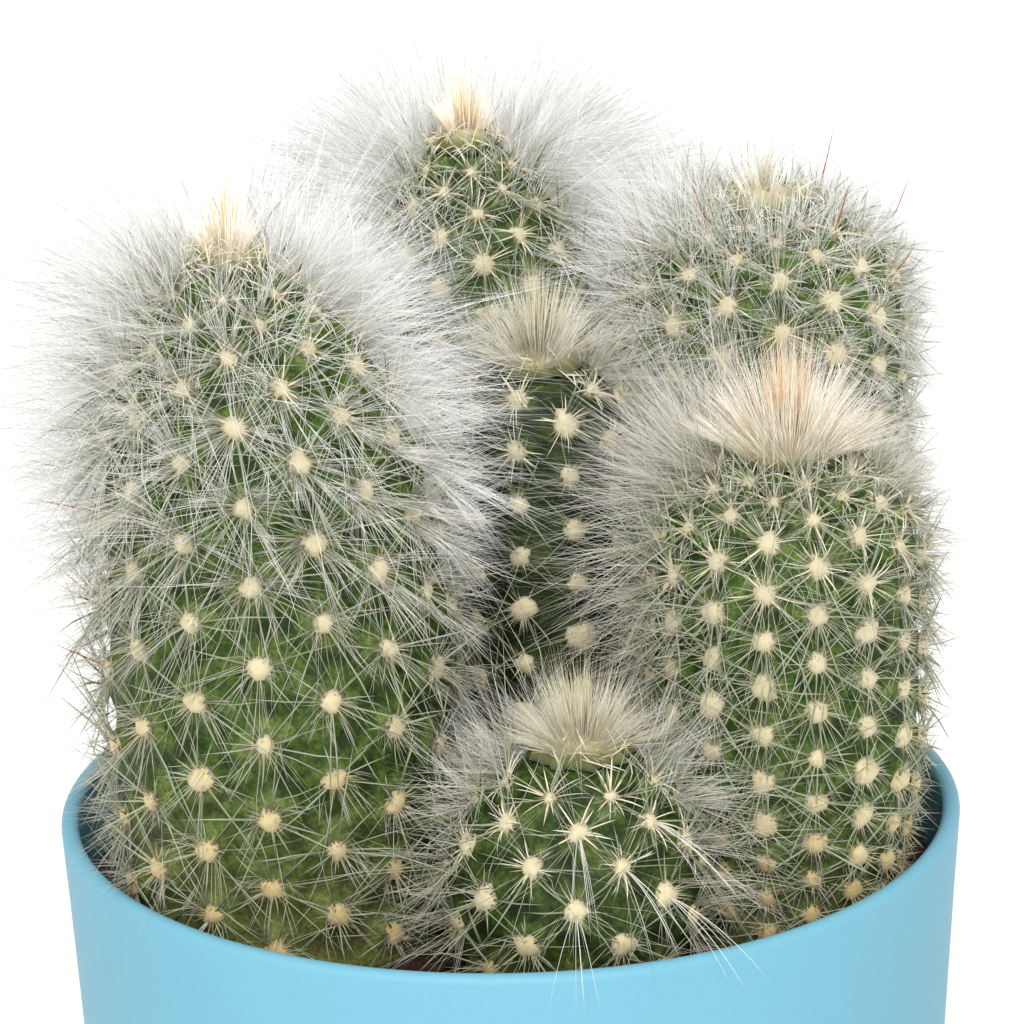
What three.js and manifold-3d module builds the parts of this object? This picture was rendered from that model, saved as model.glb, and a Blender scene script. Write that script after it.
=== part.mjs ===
// A potted old man cactus: six woolly, ribbed stems standing in soil in a plain round pot.
// Millimetres, +Z up. The origin is the centre of the pot's underside, and -Y is the front.

import * as THREE from 'three';
import { mergeVertices } from 'three/addons/utils/BufferGeometryUtils.js';
import Module from 'manifold-3d';

const wasm = await Module();
wasm.setup();

// The pot, which narrows downwards, and its drain holes.
const POT = {
  height: 78, rimRadius: 45, taper: 3.5, wall: 1.8, floor: 2.6, lip: 0.9, lipRound: 0.3,
  footRound: 1, segments: 32,
};
const DRAIN = { count: 5, radius: 2.5, ring: 18, sides: 12 };

// The soil, with its low swells, and the clearance that touching pieces keep.
const SOIL = { top: 71, swell: 0.3, rings: [13, 26, 38], edge: 1.2, holeDepth: 10, holeSides: 16 };
const GAP = 0.3;

// The stems. at: where each stands. lean: how far its top leans. dome: the height of its rounded
// top for its radius. square: how blunt that top is. taper and foot: how it narrows upwards and
// at the soil. ribs, turn, rowGap and oldRows: its ribs, where the first one faces in degrees from
// the front, the length of skin from one row of areoles to the next, and how much of that the
// oldest rows have. crown: the radius and the length of its woolly crown. spine: the length of its
// spines low down and near the top.
const STEMS = [
  {
    name: 'left_front', at: [-21.8, -13.3], radius: 16.8, height: 68.4, lean: [-4.3, 0], dome: 1.37,
    square: 2.1, taper: 0.3, foot: 0.9, ribs: 16, turn: 18.7, rowGap: 3.96, oldRows: 0.86,
    crown: [4, 11], needles: 24, spine: [7, 11], skin: 0x566b36, wool: 0xe7dbc7,
  },
  {
    name: 'back', at: [-0.2, 23.6], radius: 11.8, height: 68.9, lean: [-3, 1.6], dome: 1.9,
    square: 2, taper: 0.1, foot: 0.84, ribs: 14, turn: 3.4, rowGap: 2.88, oldRows: 1.3,
    crown: [3.4, 10], needles: 22, spine: [7, 10.5], skin: 0x566938, wool: 0xe5d6bb,
  },
  {
    name: 'back_right', at: [25.9, 15], radius: 14, height: 63.5, lean: [0.9, 3.2], dome: 0.85,
    square: 2.1, taper: 0, foot: 0.73, ribs: 16, turn: -17.7, rowGap: 2.46, oldRows: 1.4,
    crown: [5, 8.5], needles: 26, spine: [7, 9.5], skin: 0x566938, wool: 0xd4d0c4,
  },
  {
    name: 'middle', at: [4.9, 1.7], radius: 9, height: 52.3, lean: [-1.3, 1.2], dome: 0.7,
    square: 2.4, taper: 0.2, foot: 0.86, ribs: 10, turn: 16.4, rowGap: 2.82, oldRows: 1,
    crown: [4.2, 12.5], needles: 25, spine: [6, 8.5], skin: 0x3f5627, wool: 0xcec8bd,
  },
  {
    name: 'right_front', at: [26.9, -12.9], radius: 13, height: 47.8, lean: [0.6, -0.9], dome: 1,
    square: 2.5, taper: 0.05, foot: 0.8, ribs: 16, turn: 10.5, rowGap: 2.42, oldRows: 0.85,
    crown: [5, 14.5], needles: 28, spine: [6.5, 10], skin: 0x5f7540, wool: 0xdbd3b5,
  },
  {
    name: 'front', at: [5.9, -26.8], radius: 12.1, height: 23.2, lean: [1.2, 0.9], dome: 1.41,
    square: 2.3, taper: 0.07, foot: 0.87, ribs: 16, turn: 22, rowGap: 3.98, oldRows: 1,
    crown: [4.8, 11.5], needles: 26, spine: [6, 9], skin: 0x566b36, wool: 0xd0ceba,
  },
];

// How every stem grows. foot and old: the shares of its height over which it widens from its foot
// and over which its oldest rows lie. young: how close its rows are at the crown, for where it is
// widest. sunk: how narrow it is at the bottom of its hole.
const GROWTH = { foot: 0.45, old: 0.4, young: 0.45, sunk: 0.92, samples: 80 };

// The relief of the skin, and the felt pads that the spines grow from.
const RELIEF = 0.034;
const PAD = { radius: 0.62, share: 0.2, drop: 0.12 };

// The spines. They stand at lowAngle degrees low down, and at highAngle from a share of steepFrom
// and a further steepOver of the stem's height. rise turns them upwards, and outward turns them
// away from the crown, from crownFrom on. They are followed in steps of march to find what is clear.
const SPINE = {
  count: 3, lowAngle: 26, highAngle: 50, steepFrom: 0.45, steepOver: 0.4, rise: 0.22, outward: 0.75,
  crownFrom: 0.8, crownOver: 0.15, thickness: 0.54, shortest: 0.9, spread: 0.2, march: 0.4, least: 0.7,
};

// The star of spines in an areole: the lifts and turns that are tried, the share of its full length
// that is enough, and the length that a later try has to gain.
const STAR = { lifts: [0, 0.5, 1.1], turns: [0.19, 0.81, 0.5], enough: 0.97, gain: 0.5 };

// The room that spines and needles keep. A spine may graze its own stem up to graze from its root.
const CLEAR = { stems: 0.25, wall: 0.7, rim: 0.8, soil: 0.8, skin: 0.5, spines: 0.15, graze: 1.75 };
const BALLS_IN_STEM = 16;

// The room above a crown that only its own needles enter: a cone of so many degrees, wider than the
// crown by margin, which starts so far below it.
const CONE = { degrees: 37, margin: 0.9, below: 0.5 };

// A crown's low cushion, whose outline is in shares of its radius and height, and its needles.
const CUSHION = {
  least: 1.5, cover: 0.4, sides: 8, outline: [[0, 0], [0.94, 0], [1, 0.25], [0.72, 0.75], [0, 1]],
};
const NEEDLE = {
  radius: 0.42, sides: 3, tilt: 32, spread: 0.82, droop: 0.7, sunk: 1.1, sunkShare: 0.6, shortest: 0.84,
};
const GOLDEN_ANGLE = Math.PI * (3 - Math.sqrt(5));
const SEED = { stems: 101, crowns: 701 };

const UP = new THREE.Vector3(0, 0, 1);
const CONE_AXIS = new THREE.Vector3(0, 1, 0);
const radians = THREE.MathUtils.degToRad;
const clamp = THREE.MathUtils.clamp;

// Even draws from 0 to 1, the same each run.
function seededDraws(seed) {
  let state = seed;
  return () => {
    state = (Math.imul(state, 1664525) + 1013904223) >>> 0;
    return state / 4294967296;
  };
}

function smooth(value) {
  const t = clamp(value, 0, 1);
  return t * t * (3 - 2 * t);
}

// A closed three.js geometry as a solid, and a solid as a geometry.
function toSolid(geometry) {
  const bare = geometry.clone();
  bare.deleteAttribute('normal');
  bare.deleteAttribute('uv');
  const merged = mergeVertices(bare);
  return new wasm.Manifold(new wasm.Mesh({
    numProp: 3,
    vertProperties: merged.attributes.position.array,
    triVerts: new Uint32Array(merged.index.array),
  }));
}

function toGeometry(solid) {
  const { vertProperties, triVerts } = solid.getMesh();
  return indexedGeometry(vertProperties, triVerts);
}

function indexedGeometry(positions, triangles) {
  const geometry = new THREE.BufferGeometry();
  geometry.setAttribute('position', new THREE.BufferAttribute(new Float32Array(positions), 3));
  geometry.setIndex(new THREE.BufferAttribute(new Uint32Array(triangles), 1));
  return geometry;
}

// A turned shape from a profile of [radius, height] pairs, with its axis along +Z.
function turned(profile, segments) {
  const geometry = new THREE.LatheGeometry(profile.map(([r, z]) => new THREE.Vector2(r, z)), segments);
  return geometry.rotateX(Math.PI / 2);
}

function upright(geometry, x, y, z) {
  return geometry.rotateX(Math.PI / 2).translate(x, y, z);
}

// The pot's outer and inner radius at a height.
function potRadius(z) {
  return POT.rimRadius - (POT.height - z) * Math.tan(radians(POT.taper));
}

function innerRadius(z) {
  return potRadius(z) - POT.wall;
}

// The pot: a thin tapered wall with a round lip, and a flat floor with drain holes.
function makePot() {
  const shoulder = POT.height - POT.lip;
  const profile = [
    [0, 0],
    [potRadius(0) - POT.footRound, 0],
    [potRadius(0), POT.footRound],
    [potRadius(shoulder), shoulder],
    [potRadius(POT.height) - POT.lipRound, POT.height - POT.lipRound],
    [potRadius(POT.height) - POT.lip, POT.height],
    [innerRadius(POT.height) + POT.lipRound, POT.height - POT.lipRound],
    [innerRadius(shoulder), shoulder],
    [innerRadius(POT.floor), POT.floor],
    [0, POT.floor],
  ];
  let pot = toSolid(turned(profile, POT.segments));
  for (let k = 0; k < DRAIN.count; k += 1) {
    const angle = (2 * Math.PI * k) / DRAIN.count;
    const hole = new THREE.CylinderGeometry(DRAIN.radius, DRAIN.radius, 3 * POT.floor, DRAIN.sides);
    const x = DRAIN.ring * Math.cos(angle);
    const y = DRAIN.ring * Math.sin(angle);
    pot = pot.subtract(toSolid(upright(hole, x, y, 0)));
  }
  return toGeometry(pot);
}

// How far the soil's surface swells above its mean height.
function soilSwell(x, y) {
  return SOIL.swell * (Math.sin(0.31 * x + 0.9) * Math.cos(0.27 * y - 0.4) + 0.5 * Math.sin(0.5 * (x + y)));
}

// The soil: a filling just clear of the pot, with a plain hole for each stem.
function makeSoil() {
  const bottom = POT.floor + GAP;
  const profile = [
    [0, bottom],
    [innerRadius(bottom) - GAP, bottom],
    [innerRadius(SOIL.top - SOIL.edge) - GAP, SOIL.top - SOIL.edge],
    ...SOIL.rings.map((r) => [r, SOIL.top]).reverse(),
    [0, SOIL.top],
  ];
  const geometry = turned(profile, POT.segments);
  const position = geometry.attributes.position;
  for (let k = 0; k < position.count; k += 1) {
    if (position.getZ(k) > SOIL.top - SOIL.edge / 2) {
      position.setZ(k, SOIL.top + soilSwell(position.getX(k), position.getY(k)));
    }
  }
  let soil = toSolid(geometry);
  for (const stem of STEMS) {
    const radius = (stemRadius(stem, 0) + 1.5 * GAP) / Math.cos(Math.PI / SOIL.holeSides);
    const depth = SOIL.holeDepth + GAP;
    const hole = new THREE.CylinderGeometry(radius, radius, 2 * depth, SOIL.holeSides);
    soil = soil.subtract(toSolid(upright(hole, stem.at[0], stem.at[1], SOIL.top)));
  }
  return toGeometry(soil);
}

// A stem's mean radius at a height above the soil.
function stemRadius(stem, height) {
  const domeHeight = stem.dome * stem.radius;
  const intoDome = clamp((height - stem.height + domeHeight) / domeHeight, 0, 1);
  const foot = stem.foot + (1 - stem.foot) * smooth(height / (GROWTH.foot * stem.height));
  const taper = 1 - stem.taper * clamp(height / stem.height, 0, 1) ** 3;
  return stem.radius * foot * taper * Math.sqrt(Math.max(0, 1 - intoDome ** stem.square));
}

// The middle of a stem at a height above the soil: upright at the foot, leaning near the top.
function stemAxis(stem, height) {
  const bend = (height / stem.height) ** 3;
  const [x, y] = stem.at.map((start, side) => start + stem.lean[side] * bend);
  return new THREE.Vector3(x, y, SOIL.top + height);
}

// The height of the ring where a stem's dome narrows to the radius of its woolly crown.
function crownHeight(stem) {
  let low = stem.height - stem.dome * stem.radius;
  let high = stem.height;
  for (let step = 0; step < 40; step += 1) {
    const middle = (low + high) / 2;
    if (stemRadius(stem, middle) > stem.crown[0] + GAP) low = middle;
    else high = middle;
  }
  return low;
}

// The heights of a stem's rows of areoles. They are closer on the dome, where the stem is young.
function rowHeights(stem) {
  const top = crownHeight(stem);
  const domeStart = stem.height - stem.dome * stem.radius;
  const samples = [];
  for (let k = 0; k <= GROWTH.samples; k += 1) samples.push(domeStart * (k / GROWTH.samples));
  for (let k = 1; k <= GROWTH.samples; k += 1) {
    samples.push(domeStart + (top - domeStart) * Math.sin((Math.PI / 2) * (k / GROWTH.samples)));
  }
  const rowsSoFar = [0];
  for (let k = 1; k < samples.length; k += 1) {
    const radius = stemRadius(stem, samples[k]);
    const length = Math.hypot(samples[k] - samples[k - 1], radius - stemRadius(stem, samples[k - 1]));
    const old = stem.oldRows + (1 - stem.oldRows) * smooth(samples[k] / (GROWTH.old * stem.height));
    const young = GROWTH.young + (1 - GROWTH.young) * clamp(radius / stem.radius, 0, 1);
    rowsSoFar.push(rowsSoFar[k - 1] + length / (stem.rowGap * old * young));
  }
  const total = rowsSoFar[rowsSoFar.length - 1];
  const rows = Math.round(total);
  const heights = [];
  let k = 0;
  for (let row = 0; row <= rows; row += 1) {
    const wanted = (row / rows) * total;
    while (k < rowsSoFar.length - 2 && rowsSoFar[k + 1] < wanted) k += 1;
    const part = (wanted - rowsSoFar[k]) / (rowsSoFar[k + 1] - rowsSoFar[k]);
    heights.push(samples[k] + part * (samples[k + 1] - samples[k]));
  }
  return heights;
}

// Where a rib crosses a row, with the directions round the stem, up along the rib and outwards.
// The skin stands proud at every other crossing, where an areole is, and sinks between them.
function skinPoint(stem, rib, row, heights) {
  const angle = radians(stem.turn - 90) + (2 * Math.PI * rib) / stem.ribs;
  const height = heights[row];
  const radius = stemRadius(stem, height);
  const radial = new THREE.Vector3(Math.cos(angle), Math.sin(angle), 0);
  const round = new THREE.Vector3(-Math.sin(angle), Math.cos(angle), 0);
  const step = 0.01;
  const along = stemAxis(stem, height + step).sub(stemAxis(stem, height - step));
  along.addScaledVector(radial, stemRadius(stem, height + step) - stemRadius(stem, height - step));
  along.normalize();
  const outward = round.clone().cross(along).normalize();
  const last = heights.length - 1;
  const areole = (rib + row) % 2 === 0 && row > 0 && row < last;
  let relief = areole ? 1 : -1;
  if (row === 0 || row === last) relief = 0;
  const at = stemAxis(stem, height).addScaledVector(radial, radius);
  at.addScaledVector(outward, relief * RELIEF * stem.radius);
  const pad = Math.min(PAD.radius, PAD.share * ((2 * Math.PI * radius) / stem.ribs));
  return { at, round, along, outward, radial, pad, areole };
}

// Balls along a stem's axis that fill it. The distance to the nearest one tells whose space a
// point lies in.
const BALLS = STEMS.map((stem) => Array.from({ length: BALLS_IN_STEM }, (_, k) => {
  const height = (stem.height * (k + 0.5)) / BALLS_IN_STEM;
  return { at: stemAxis(stem, height), radius: Math.min(stemRadius(stem, height), stem.height - height) };
}));

function distanceToStem(index, point) {
  return Math.min(...BALLS[index].map((ball) => ball.at.distanceTo(point) - ball.radius));
}

// Whether a point belongs to the cone above a stem's crown, which only the crown's wool enters.
function inCrownCone(stem, point) {
  const foot = crownHeight(stem);
  const rise = point.z - SOIL.top - foot;
  if (rise < -CONE.below) return false;
  const axis = stemAxis(stem, stem.height);
  const out = Math.hypot(point.x - axis.x, point.y - axis.y);
  return out < stem.crown[0] + CONE.margin + Math.max(0, rise) * Math.tan(radians(CONE.degrees));
}

// Whether a point of a spine or of wool is clear of the pot, the soil and the other stems' space.
function isClear(index, point) {
  if (point.z < SOIL.top + CLEAR.soil) return false;
  if (point.z < POT.height + CLEAR.rim) {
    if (Math.hypot(point.x, point.y) > innerRadius(POT.height) - CLEAR.wall) return false;
  }
  const own = distanceToStem(index, point);
  return STEMS.every((_, other) => other === index || own + 2 * CLEAR.stems < distanceToStem(other, point));
}

// Whether a point on a spine, so thick there, touches a straight spine that is already placed.
function touchesSpine(point, thickness, other) {
  const along = clamp(point.clone().sub(other.root).dot(other.direction), 0, other.length);
  const nearest = other.root.clone().addScaledVector(other.direction, along);
  const allowed = thickness + SPINE.thickness * (1 - along / other.length) + CLEAR.spines;
  return nearest.distanceTo(point) < allowed;
}

// How long a spine can be before it meets something, up to the length that it should have.
function clearLength(index, spine, placed) {
  const near = placed.filter((other) => other.root.distanceTo(spine.root) < spine.length + other.length);
  for (let s = SPINE.least; s <= spine.length; s += SPINE.march) {
    const point = spine.root.clone().addScaledVector(spine.direction, s);
    const thickness = SPINE.thickness * (1 - s / spine.length);
    const grazing = s > CLEAR.graze && distanceToStem(index, point) < thickness + CLEAR.skin;
    const blocked = grazing || !isClear(index, point) || inCrownCone(STEMS[index], point)
      || near.some((other) => touchesSpine(point, thickness, other));
    if (blocked) return Math.max(s - SPINE.march, SPINE.least);
  }
  return spine.length;
}

// The spines of one areole: a star, with each spine over one side of the pad. A few turns of the
// star and lifts of its middle are tried, and the one whose spines stay longest is kept.
function makeStar(index, place, share, placed, draw) {
  const stem = STEMS[index];
  const { count } = SPINE;
  const high = smooth((share - SPINE.steepFrom) / SPINE.steepOver);
  const full = stem.spine[0] + (stem.spine[1] - stem.spine[0]) * high;
  const wanted = full * (SPINE.shortest + SPINE.spread * draw());
  const angle = radians(SPINE.lowAngle + (SPINE.highAngle - SPINE.lowAngle) * high);
  const lean = UP.clone().multiplyScalar(SPINE.rise);
  lean.addScaledVector(place.radial, SPINE.outward * smooth((share - SPINE.crownFrom) / SPINE.crownOver));
  let best = null;
  for (const lift of STAR.lifts) {
    for (const turn of STAR.turns) {
      const start = (turn * 2 * Math.PI) / count;
      const star = [];
      let total = 0;
      for (let k = 0; k < count; k += 1) {
        const side = start + (2 * Math.PI * (k + 0.5)) / count;
        const sideways = place.round.clone().multiplyScalar(Math.cos(side));
        sideways.addScaledVector(place.along, Math.sin(side));
        const direction = place.outward.clone().multiplyScalar(Math.sin(angle));
        direction.addScaledVector(sideways, Math.cos(angle));
        direction.add(lean).addScaledVector(UP, lift).normalize();
        const root = place.at.clone().addScaledVector(sideways, 0.5 * place.pad);
        const spine = { root, direction, length: wanted };
        spine.length = clearLength(index, spine, placed);
        total += spine.length;
        star.push(spine);
      }
      if (!best || total > best.total + STAR.gain) best = { start, star, total };
      if (best.total > STAR.enough * wanted * count) return best;
    }
  }
  return best;
}

// The skin of a stem with its spines: a net of ribs and rows closed at the foot and the crown.
// Each areole is the middle of a four-sided facet, and its pad there carries its spines.
function makeStem(index) {
  const stem = STEMS[index];
  const draw = seededDraws(SEED.stems + index);
  const heights = rowHeights(stem);
  const last = heights.length - 1;
  const positions = [];
  const triangles = [];
  const addPoint = (point) => positions.push(point.x, point.y, point.z) / 3 - 1;
  const addTriangle = (...corners) => triangles.push(...corners);

  const net = heights.map((_, row) => Array.from({ length: stem.ribs }, (_, rib) => {
    const place = skinPoint(stem, rib, row, heights);
    return { ...place, id: addPoint(place.at) };
  }));
  const idAt = (rib, row) => net[row][(rib + stem.ribs) % stem.ribs].id;

  const placed = [];
  for (let row = 0; row <= last; row += 1) {
    for (let rib = 0; rib < stem.ribs; rib += 1) {
      if ((rib + row) % 2 !== 0) continue;
      const place = net[row][rib];
      const outer = [idAt(rib + 1, row), row < last ? idAt(rib, row + 1) : -1, idAt(rib - 1, row),
        row > 0 ? idAt(rib, row - 1) : -1];
      if (!place.areole) {
        const [east, north, west, south] = outer;
        if (row < last) addTriangle(place.id, east, north, place.id, north, west);
        else addTriangle(place.id, west, south, place.id, south, east);
        continue;
      }
      const { start, star } = makeStar(index, place, heights[row] / stem.height, placed, draw);
      placed.push(...star);
      addAreole(place, outer, start, star, addPoint, addTriangle);
    }
  }

  // The foot in the soil, and the flat spot that the crown sits on.
  const footRadius = GROWTH.sunk * stemRadius(stem, 0);
  const footCentre = stemAxis(stem, 0).setZ(SOIL.top - SOIL.holeDepth);
  const foot = net[0].map(({ radial }) => addPoint(footCentre.clone().addScaledVector(radial, footRadius)));
  const footMiddle = addPoint(footCentre);
  const crownMiddle = addPoint(stemAxis(stem, heights[last]));
  for (let rib = 0; rib < stem.ribs; rib += 1) {
    const next = (rib + 1) % stem.ribs;
    addTriangle(foot[rib], foot[next], idAt(next, 0), foot[rib], idAt(next, 0), idAt(rib, 0));
    addTriangle(footMiddle, foot[next], foot[rib]);
    addTriangle(crownMiddle, idAt(rib, last), idAt(next, last));
  }
  return indexedGeometry(positions, triangles);
}

// The facet round one areole: a collar from its four outer corners to the ring of the pad, and
// the pad's sides drawn out to the tips of the spines.
function addAreole(place, outer, start, star, addPoint, addTriangle) {
  const count = star.length;
  const ring = star.map((_, k) => {
    const side = start + (2 * Math.PI * k) / count;
    const point = place.at.clone().addScaledVector(place.outward, -PAD.drop);
    point.addScaledVector(place.round, place.pad * Math.cos(side));
    return addPoint(point.addScaledVector(place.along, place.pad * Math.sin(side)));
  });
  const quarter = Math.PI / 2;
  let out = 0;
  let inner = 0;
  while (out < 4 || inner < count) {
    const nextOuter = (out + 1) * quarter;
    const nextInner = start + (2 * Math.PI * (inner + 1)) / count;
    if (inner >= count || (out < 4 && nextOuter <= nextInner)) {
      addTriangle(outer[out % 4], outer[(out + 1) % 4], ring[inner % count]);
      out += 1;
    } else {
      addTriangle(outer[out % 4], ring[(inner + 1) % count], ring[inner % count]);
      inner += 1;
    }
  }
  star.forEach((spine, k) => {
    const next = ring[(k + 1) % count];
    const tip = addPoint(spine.root.clone().addScaledVector(spine.direction, spine.length));
    addTriangle(place.id, ring[k], tip, ring[k], next, tip, next, place.id, tip);
  });
}

// The woolly crown of a stem: a low cushion on its flat spot and a spray of needles sunk into it.
function makeCrown(index) {
  const stem = STEMS[index];
  const draw = seededDraws(SEED.crowns + index);
  const [radius, reach] = stem.crown;
  const flat = crownHeight(stem);
  const base = stemAxis(stem, flat);
  base.z += GAP;
  const top = Math.max(CUSHION.least, stem.height - flat + CUSHION.cover);
  const profile = CUSHION.outline.map(([across, up]) => [across * radius, up * top]);
  let crown = toSolid(turned(profile, CUSHION.sides).translate(base.x, base.y, base.z));
  for (let k = 0; k < stem.needles; k += 1) {
    const out = Math.sqrt((k + 0.5) / stem.needles);
    const angle = k * GOLDEN_ANGLE;
    const tilt = radians(NEEDLE.tilt * out);
    const radial = new THREE.Vector3(Math.cos(angle), Math.sin(angle), 0);
    const direction = UP.clone().multiplyScalar(Math.cos(tilt)).addScaledVector(radial, Math.sin(tilt));
    const root = base.clone().addScaledVector(radial, NEEDLE.spread * radius * out);
    const above = top * (1 - NEEDLE.droop * out * out);
    root.z += above;
    const sunk = Math.min(NEEDLE.sunk, NEEDLE.sunkShare * above);
    let length = reach * (NEEDLE.shortest + (1 - NEEDLE.shortest) * draw());
    for (let s = 1; s <= length; s += SPINE.march) {
      if (!isClear(index, root.clone().addScaledVector(direction, s))) length = s;
    }
    const needle = new THREE.ConeGeometry(NEEDLE.radius, length + sunk, NEEDLE.sides);
    needle.translate(0, (length - sunk) / 2, 0);
    needle.applyQuaternion(new THREE.Quaternion().setFromUnitVectors(CONE_AXIS, direction));
    crown = crown.add(toSolid(needle.translate(root.x, root.y, root.z)));
  }
  return toGeometry(crown);
}

const cactus = new THREE.Group();

function addPiece(name, geometry, colour, roughness) {
  const material = new THREE.MeshStandardMaterial({ color: colour, roughness, metalness: 0 });
  const mesh = new THREE.Mesh(geometry, material);
  mesh.name = name;
  cactus.add(mesh);
}

addPiece('pot', makePot(), 0x8fd3ec, 0.45);
addPiece('soil', makeSoil(), 0x2c2a28, 0.95);
STEMS.forEach((stem, index) => {
  addPiece(`stem_${stem.name}`, makeStem(index), stem.skin, 0.6);
  addPiece(`crown_${stem.name}`, makeCrown(index), stem.wool, 0.85);
});

export default cactus;
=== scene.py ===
"""The looks of a potted old man cactus: six woolly stems in soil in a plain round pot.

Sizes are worked out in millimetres and turned to metres when a mesh is made.
"""

import math
from dataclasses import dataclass, fields

import bpy
import numpy as np
from mathutils import Matrix, Vector


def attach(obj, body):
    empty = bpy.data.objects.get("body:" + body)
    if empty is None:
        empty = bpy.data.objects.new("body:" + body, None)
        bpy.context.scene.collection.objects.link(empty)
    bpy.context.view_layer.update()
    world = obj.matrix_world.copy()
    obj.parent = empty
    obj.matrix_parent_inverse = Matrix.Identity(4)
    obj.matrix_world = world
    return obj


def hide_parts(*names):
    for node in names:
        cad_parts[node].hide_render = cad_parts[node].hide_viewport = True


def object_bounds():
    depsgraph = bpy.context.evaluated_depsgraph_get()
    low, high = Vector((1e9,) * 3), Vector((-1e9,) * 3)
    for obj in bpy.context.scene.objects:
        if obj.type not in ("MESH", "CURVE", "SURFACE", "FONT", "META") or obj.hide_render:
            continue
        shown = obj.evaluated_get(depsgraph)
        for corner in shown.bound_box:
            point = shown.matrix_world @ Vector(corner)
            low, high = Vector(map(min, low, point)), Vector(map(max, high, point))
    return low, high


bl_info = {
    "name": "Potted old man cactus",
    "version": (1, 0, 0),
    "blender": (4, 5, 0),
    "location": "View3D > Sidebar > Cactus",
    "description": "Builds the stems, spines, wool, soil, pot and stage of a potted old man cactus",
    "category": "Add Mesh",
}

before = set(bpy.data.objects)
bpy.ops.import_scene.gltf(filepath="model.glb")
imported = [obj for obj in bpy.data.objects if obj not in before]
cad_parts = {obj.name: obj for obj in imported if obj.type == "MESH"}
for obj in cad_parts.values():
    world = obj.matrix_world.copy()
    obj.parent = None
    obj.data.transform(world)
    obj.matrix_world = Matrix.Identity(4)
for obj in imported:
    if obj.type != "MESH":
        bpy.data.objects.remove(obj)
CAD_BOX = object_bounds()

MM = 0.001
UP = np.array([0, 0, 1.0])
BODY = "root"

# The pot and the soil, in millimetres, as the solids have them.
POT_HEIGHT = 78.0
RIM_RADIUS = 45.0
POT_TAPER = math.tan(math.radians(3.5))
POT_WALL = 1.8
POT_FLOOR = 2.6
LIP = 0.9
FOOT_ROUND = 1.0
DRAIN_COUNT, DRAIN_RADIUS, DRAIN_RING = 5, 2.5, 18.0
SOIL_TOP = 71.0
SOIL_EDGE = 1.2
HOLE_DEPTH = 10.0
FOOT_NARROWING = 0.92
GAP = 0.3
CROWN_CUSHION = 1.5

# How many sides the round pieces have, and how many balls fill a stem where hairs are kept out of it.
POT_SIDES, SOIL_SIDES, HOLE_SIDES, CUSHION_SIDES, PAD_SIDES, CRUMB_SIDES = 180, 190, 48, 60, 10, 5
BALLS = 16

# How near a hair comes to the inside and outside of the pot's wall, to the soil and to the other stems,
# and how far it may pass the box of the solids.
WALL_ROOM, OUTER_ROOM, SOIL_ROOM, STEM_ROOM, BOX_ROOM = 0.25, 0.15, 0.6, 0.4, 10.0

# What the random draws of each kind start from. A stem's place in the list is added to the first eight.
PAD_SEED, SPINE_SEED, WOOL_SEED, TUFT_SEED = 1000, 2000, 3000, 4000
CENTRAL_SEED, FAN_SEED, CLAW_SEED, HALO_SEED = 5000, 6000, 7000, 8000
RIM_SEED, SOIL_SEED, CRUMB_SEED = 9000, 11, 12

# The photograph's camera: its distance from the middle of the rim, how far it looks down, its
# roll, the focal length in pixels and where the middle of the rim falls in the picture.
PHOTO_SIZE = 1024
CAMERA_DISTANCE = 600.0
CAMERA_ELEVATION = math.radians(21.9)
CAMERA_ROLL = math.radians(-1.3)
FOCAL_PIXELS = 5974.0
RIM_PIXEL = (510.3, 797.4)
SENSOR = 36.0

FLOOR_HALF = 6000.0
SUN_TOWARDS = (-0.05, -1.0, 0.9)
SUN_STRENGTH, SKY_STRENGTH = 3.2, 0.8

# How proud an areole stands for its stem's radius.
RELIEF = 0.034

# How wide the marks of each material's pattern are, in millimetres. The grain of the plastic, the
# stipple of the skin and the fibre of the paper are drawn coarser than real ones, so that they show.
POT_CLOUD, POT_GRAIN, SOIL_LUMP, SOIL_GRIT = 16.67, 0.4545, 2.381, 1.111
SKIN_BLOTCH, SKIN_STIPPLE, FELT_DOWN, FELT_PATCH, PAPER_FIBRE = 2.381, 0.3846, 0.6667, 6.25, 1.111

# The skin in square millimetres that the counts of long hairs are for.
HAIR_PATCH = 40

# How finely a stem's height is sampled to find its crown and its rows.
CROWN_SAMPLES, ROW_SAMPLES = 4001, 81

# The map that carries a strand's shade across and its length upwards, and its width of one strand.
STRAND_MAP = "OFBake"
STRAND_WIDTH = 0.016


@dataclass(frozen=True)
class Stem:
    """One stem, in millimetres and degrees, as the solids have it."""

    name: str
    at: tuple
    radius: float
    height: float
    lean: tuple
    dome: float
    square: float
    taper: float
    foot: float
    ribs: int
    turn: float
    row_gap: float
    old_rows: float
    crown: tuple
    spine: tuple


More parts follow.
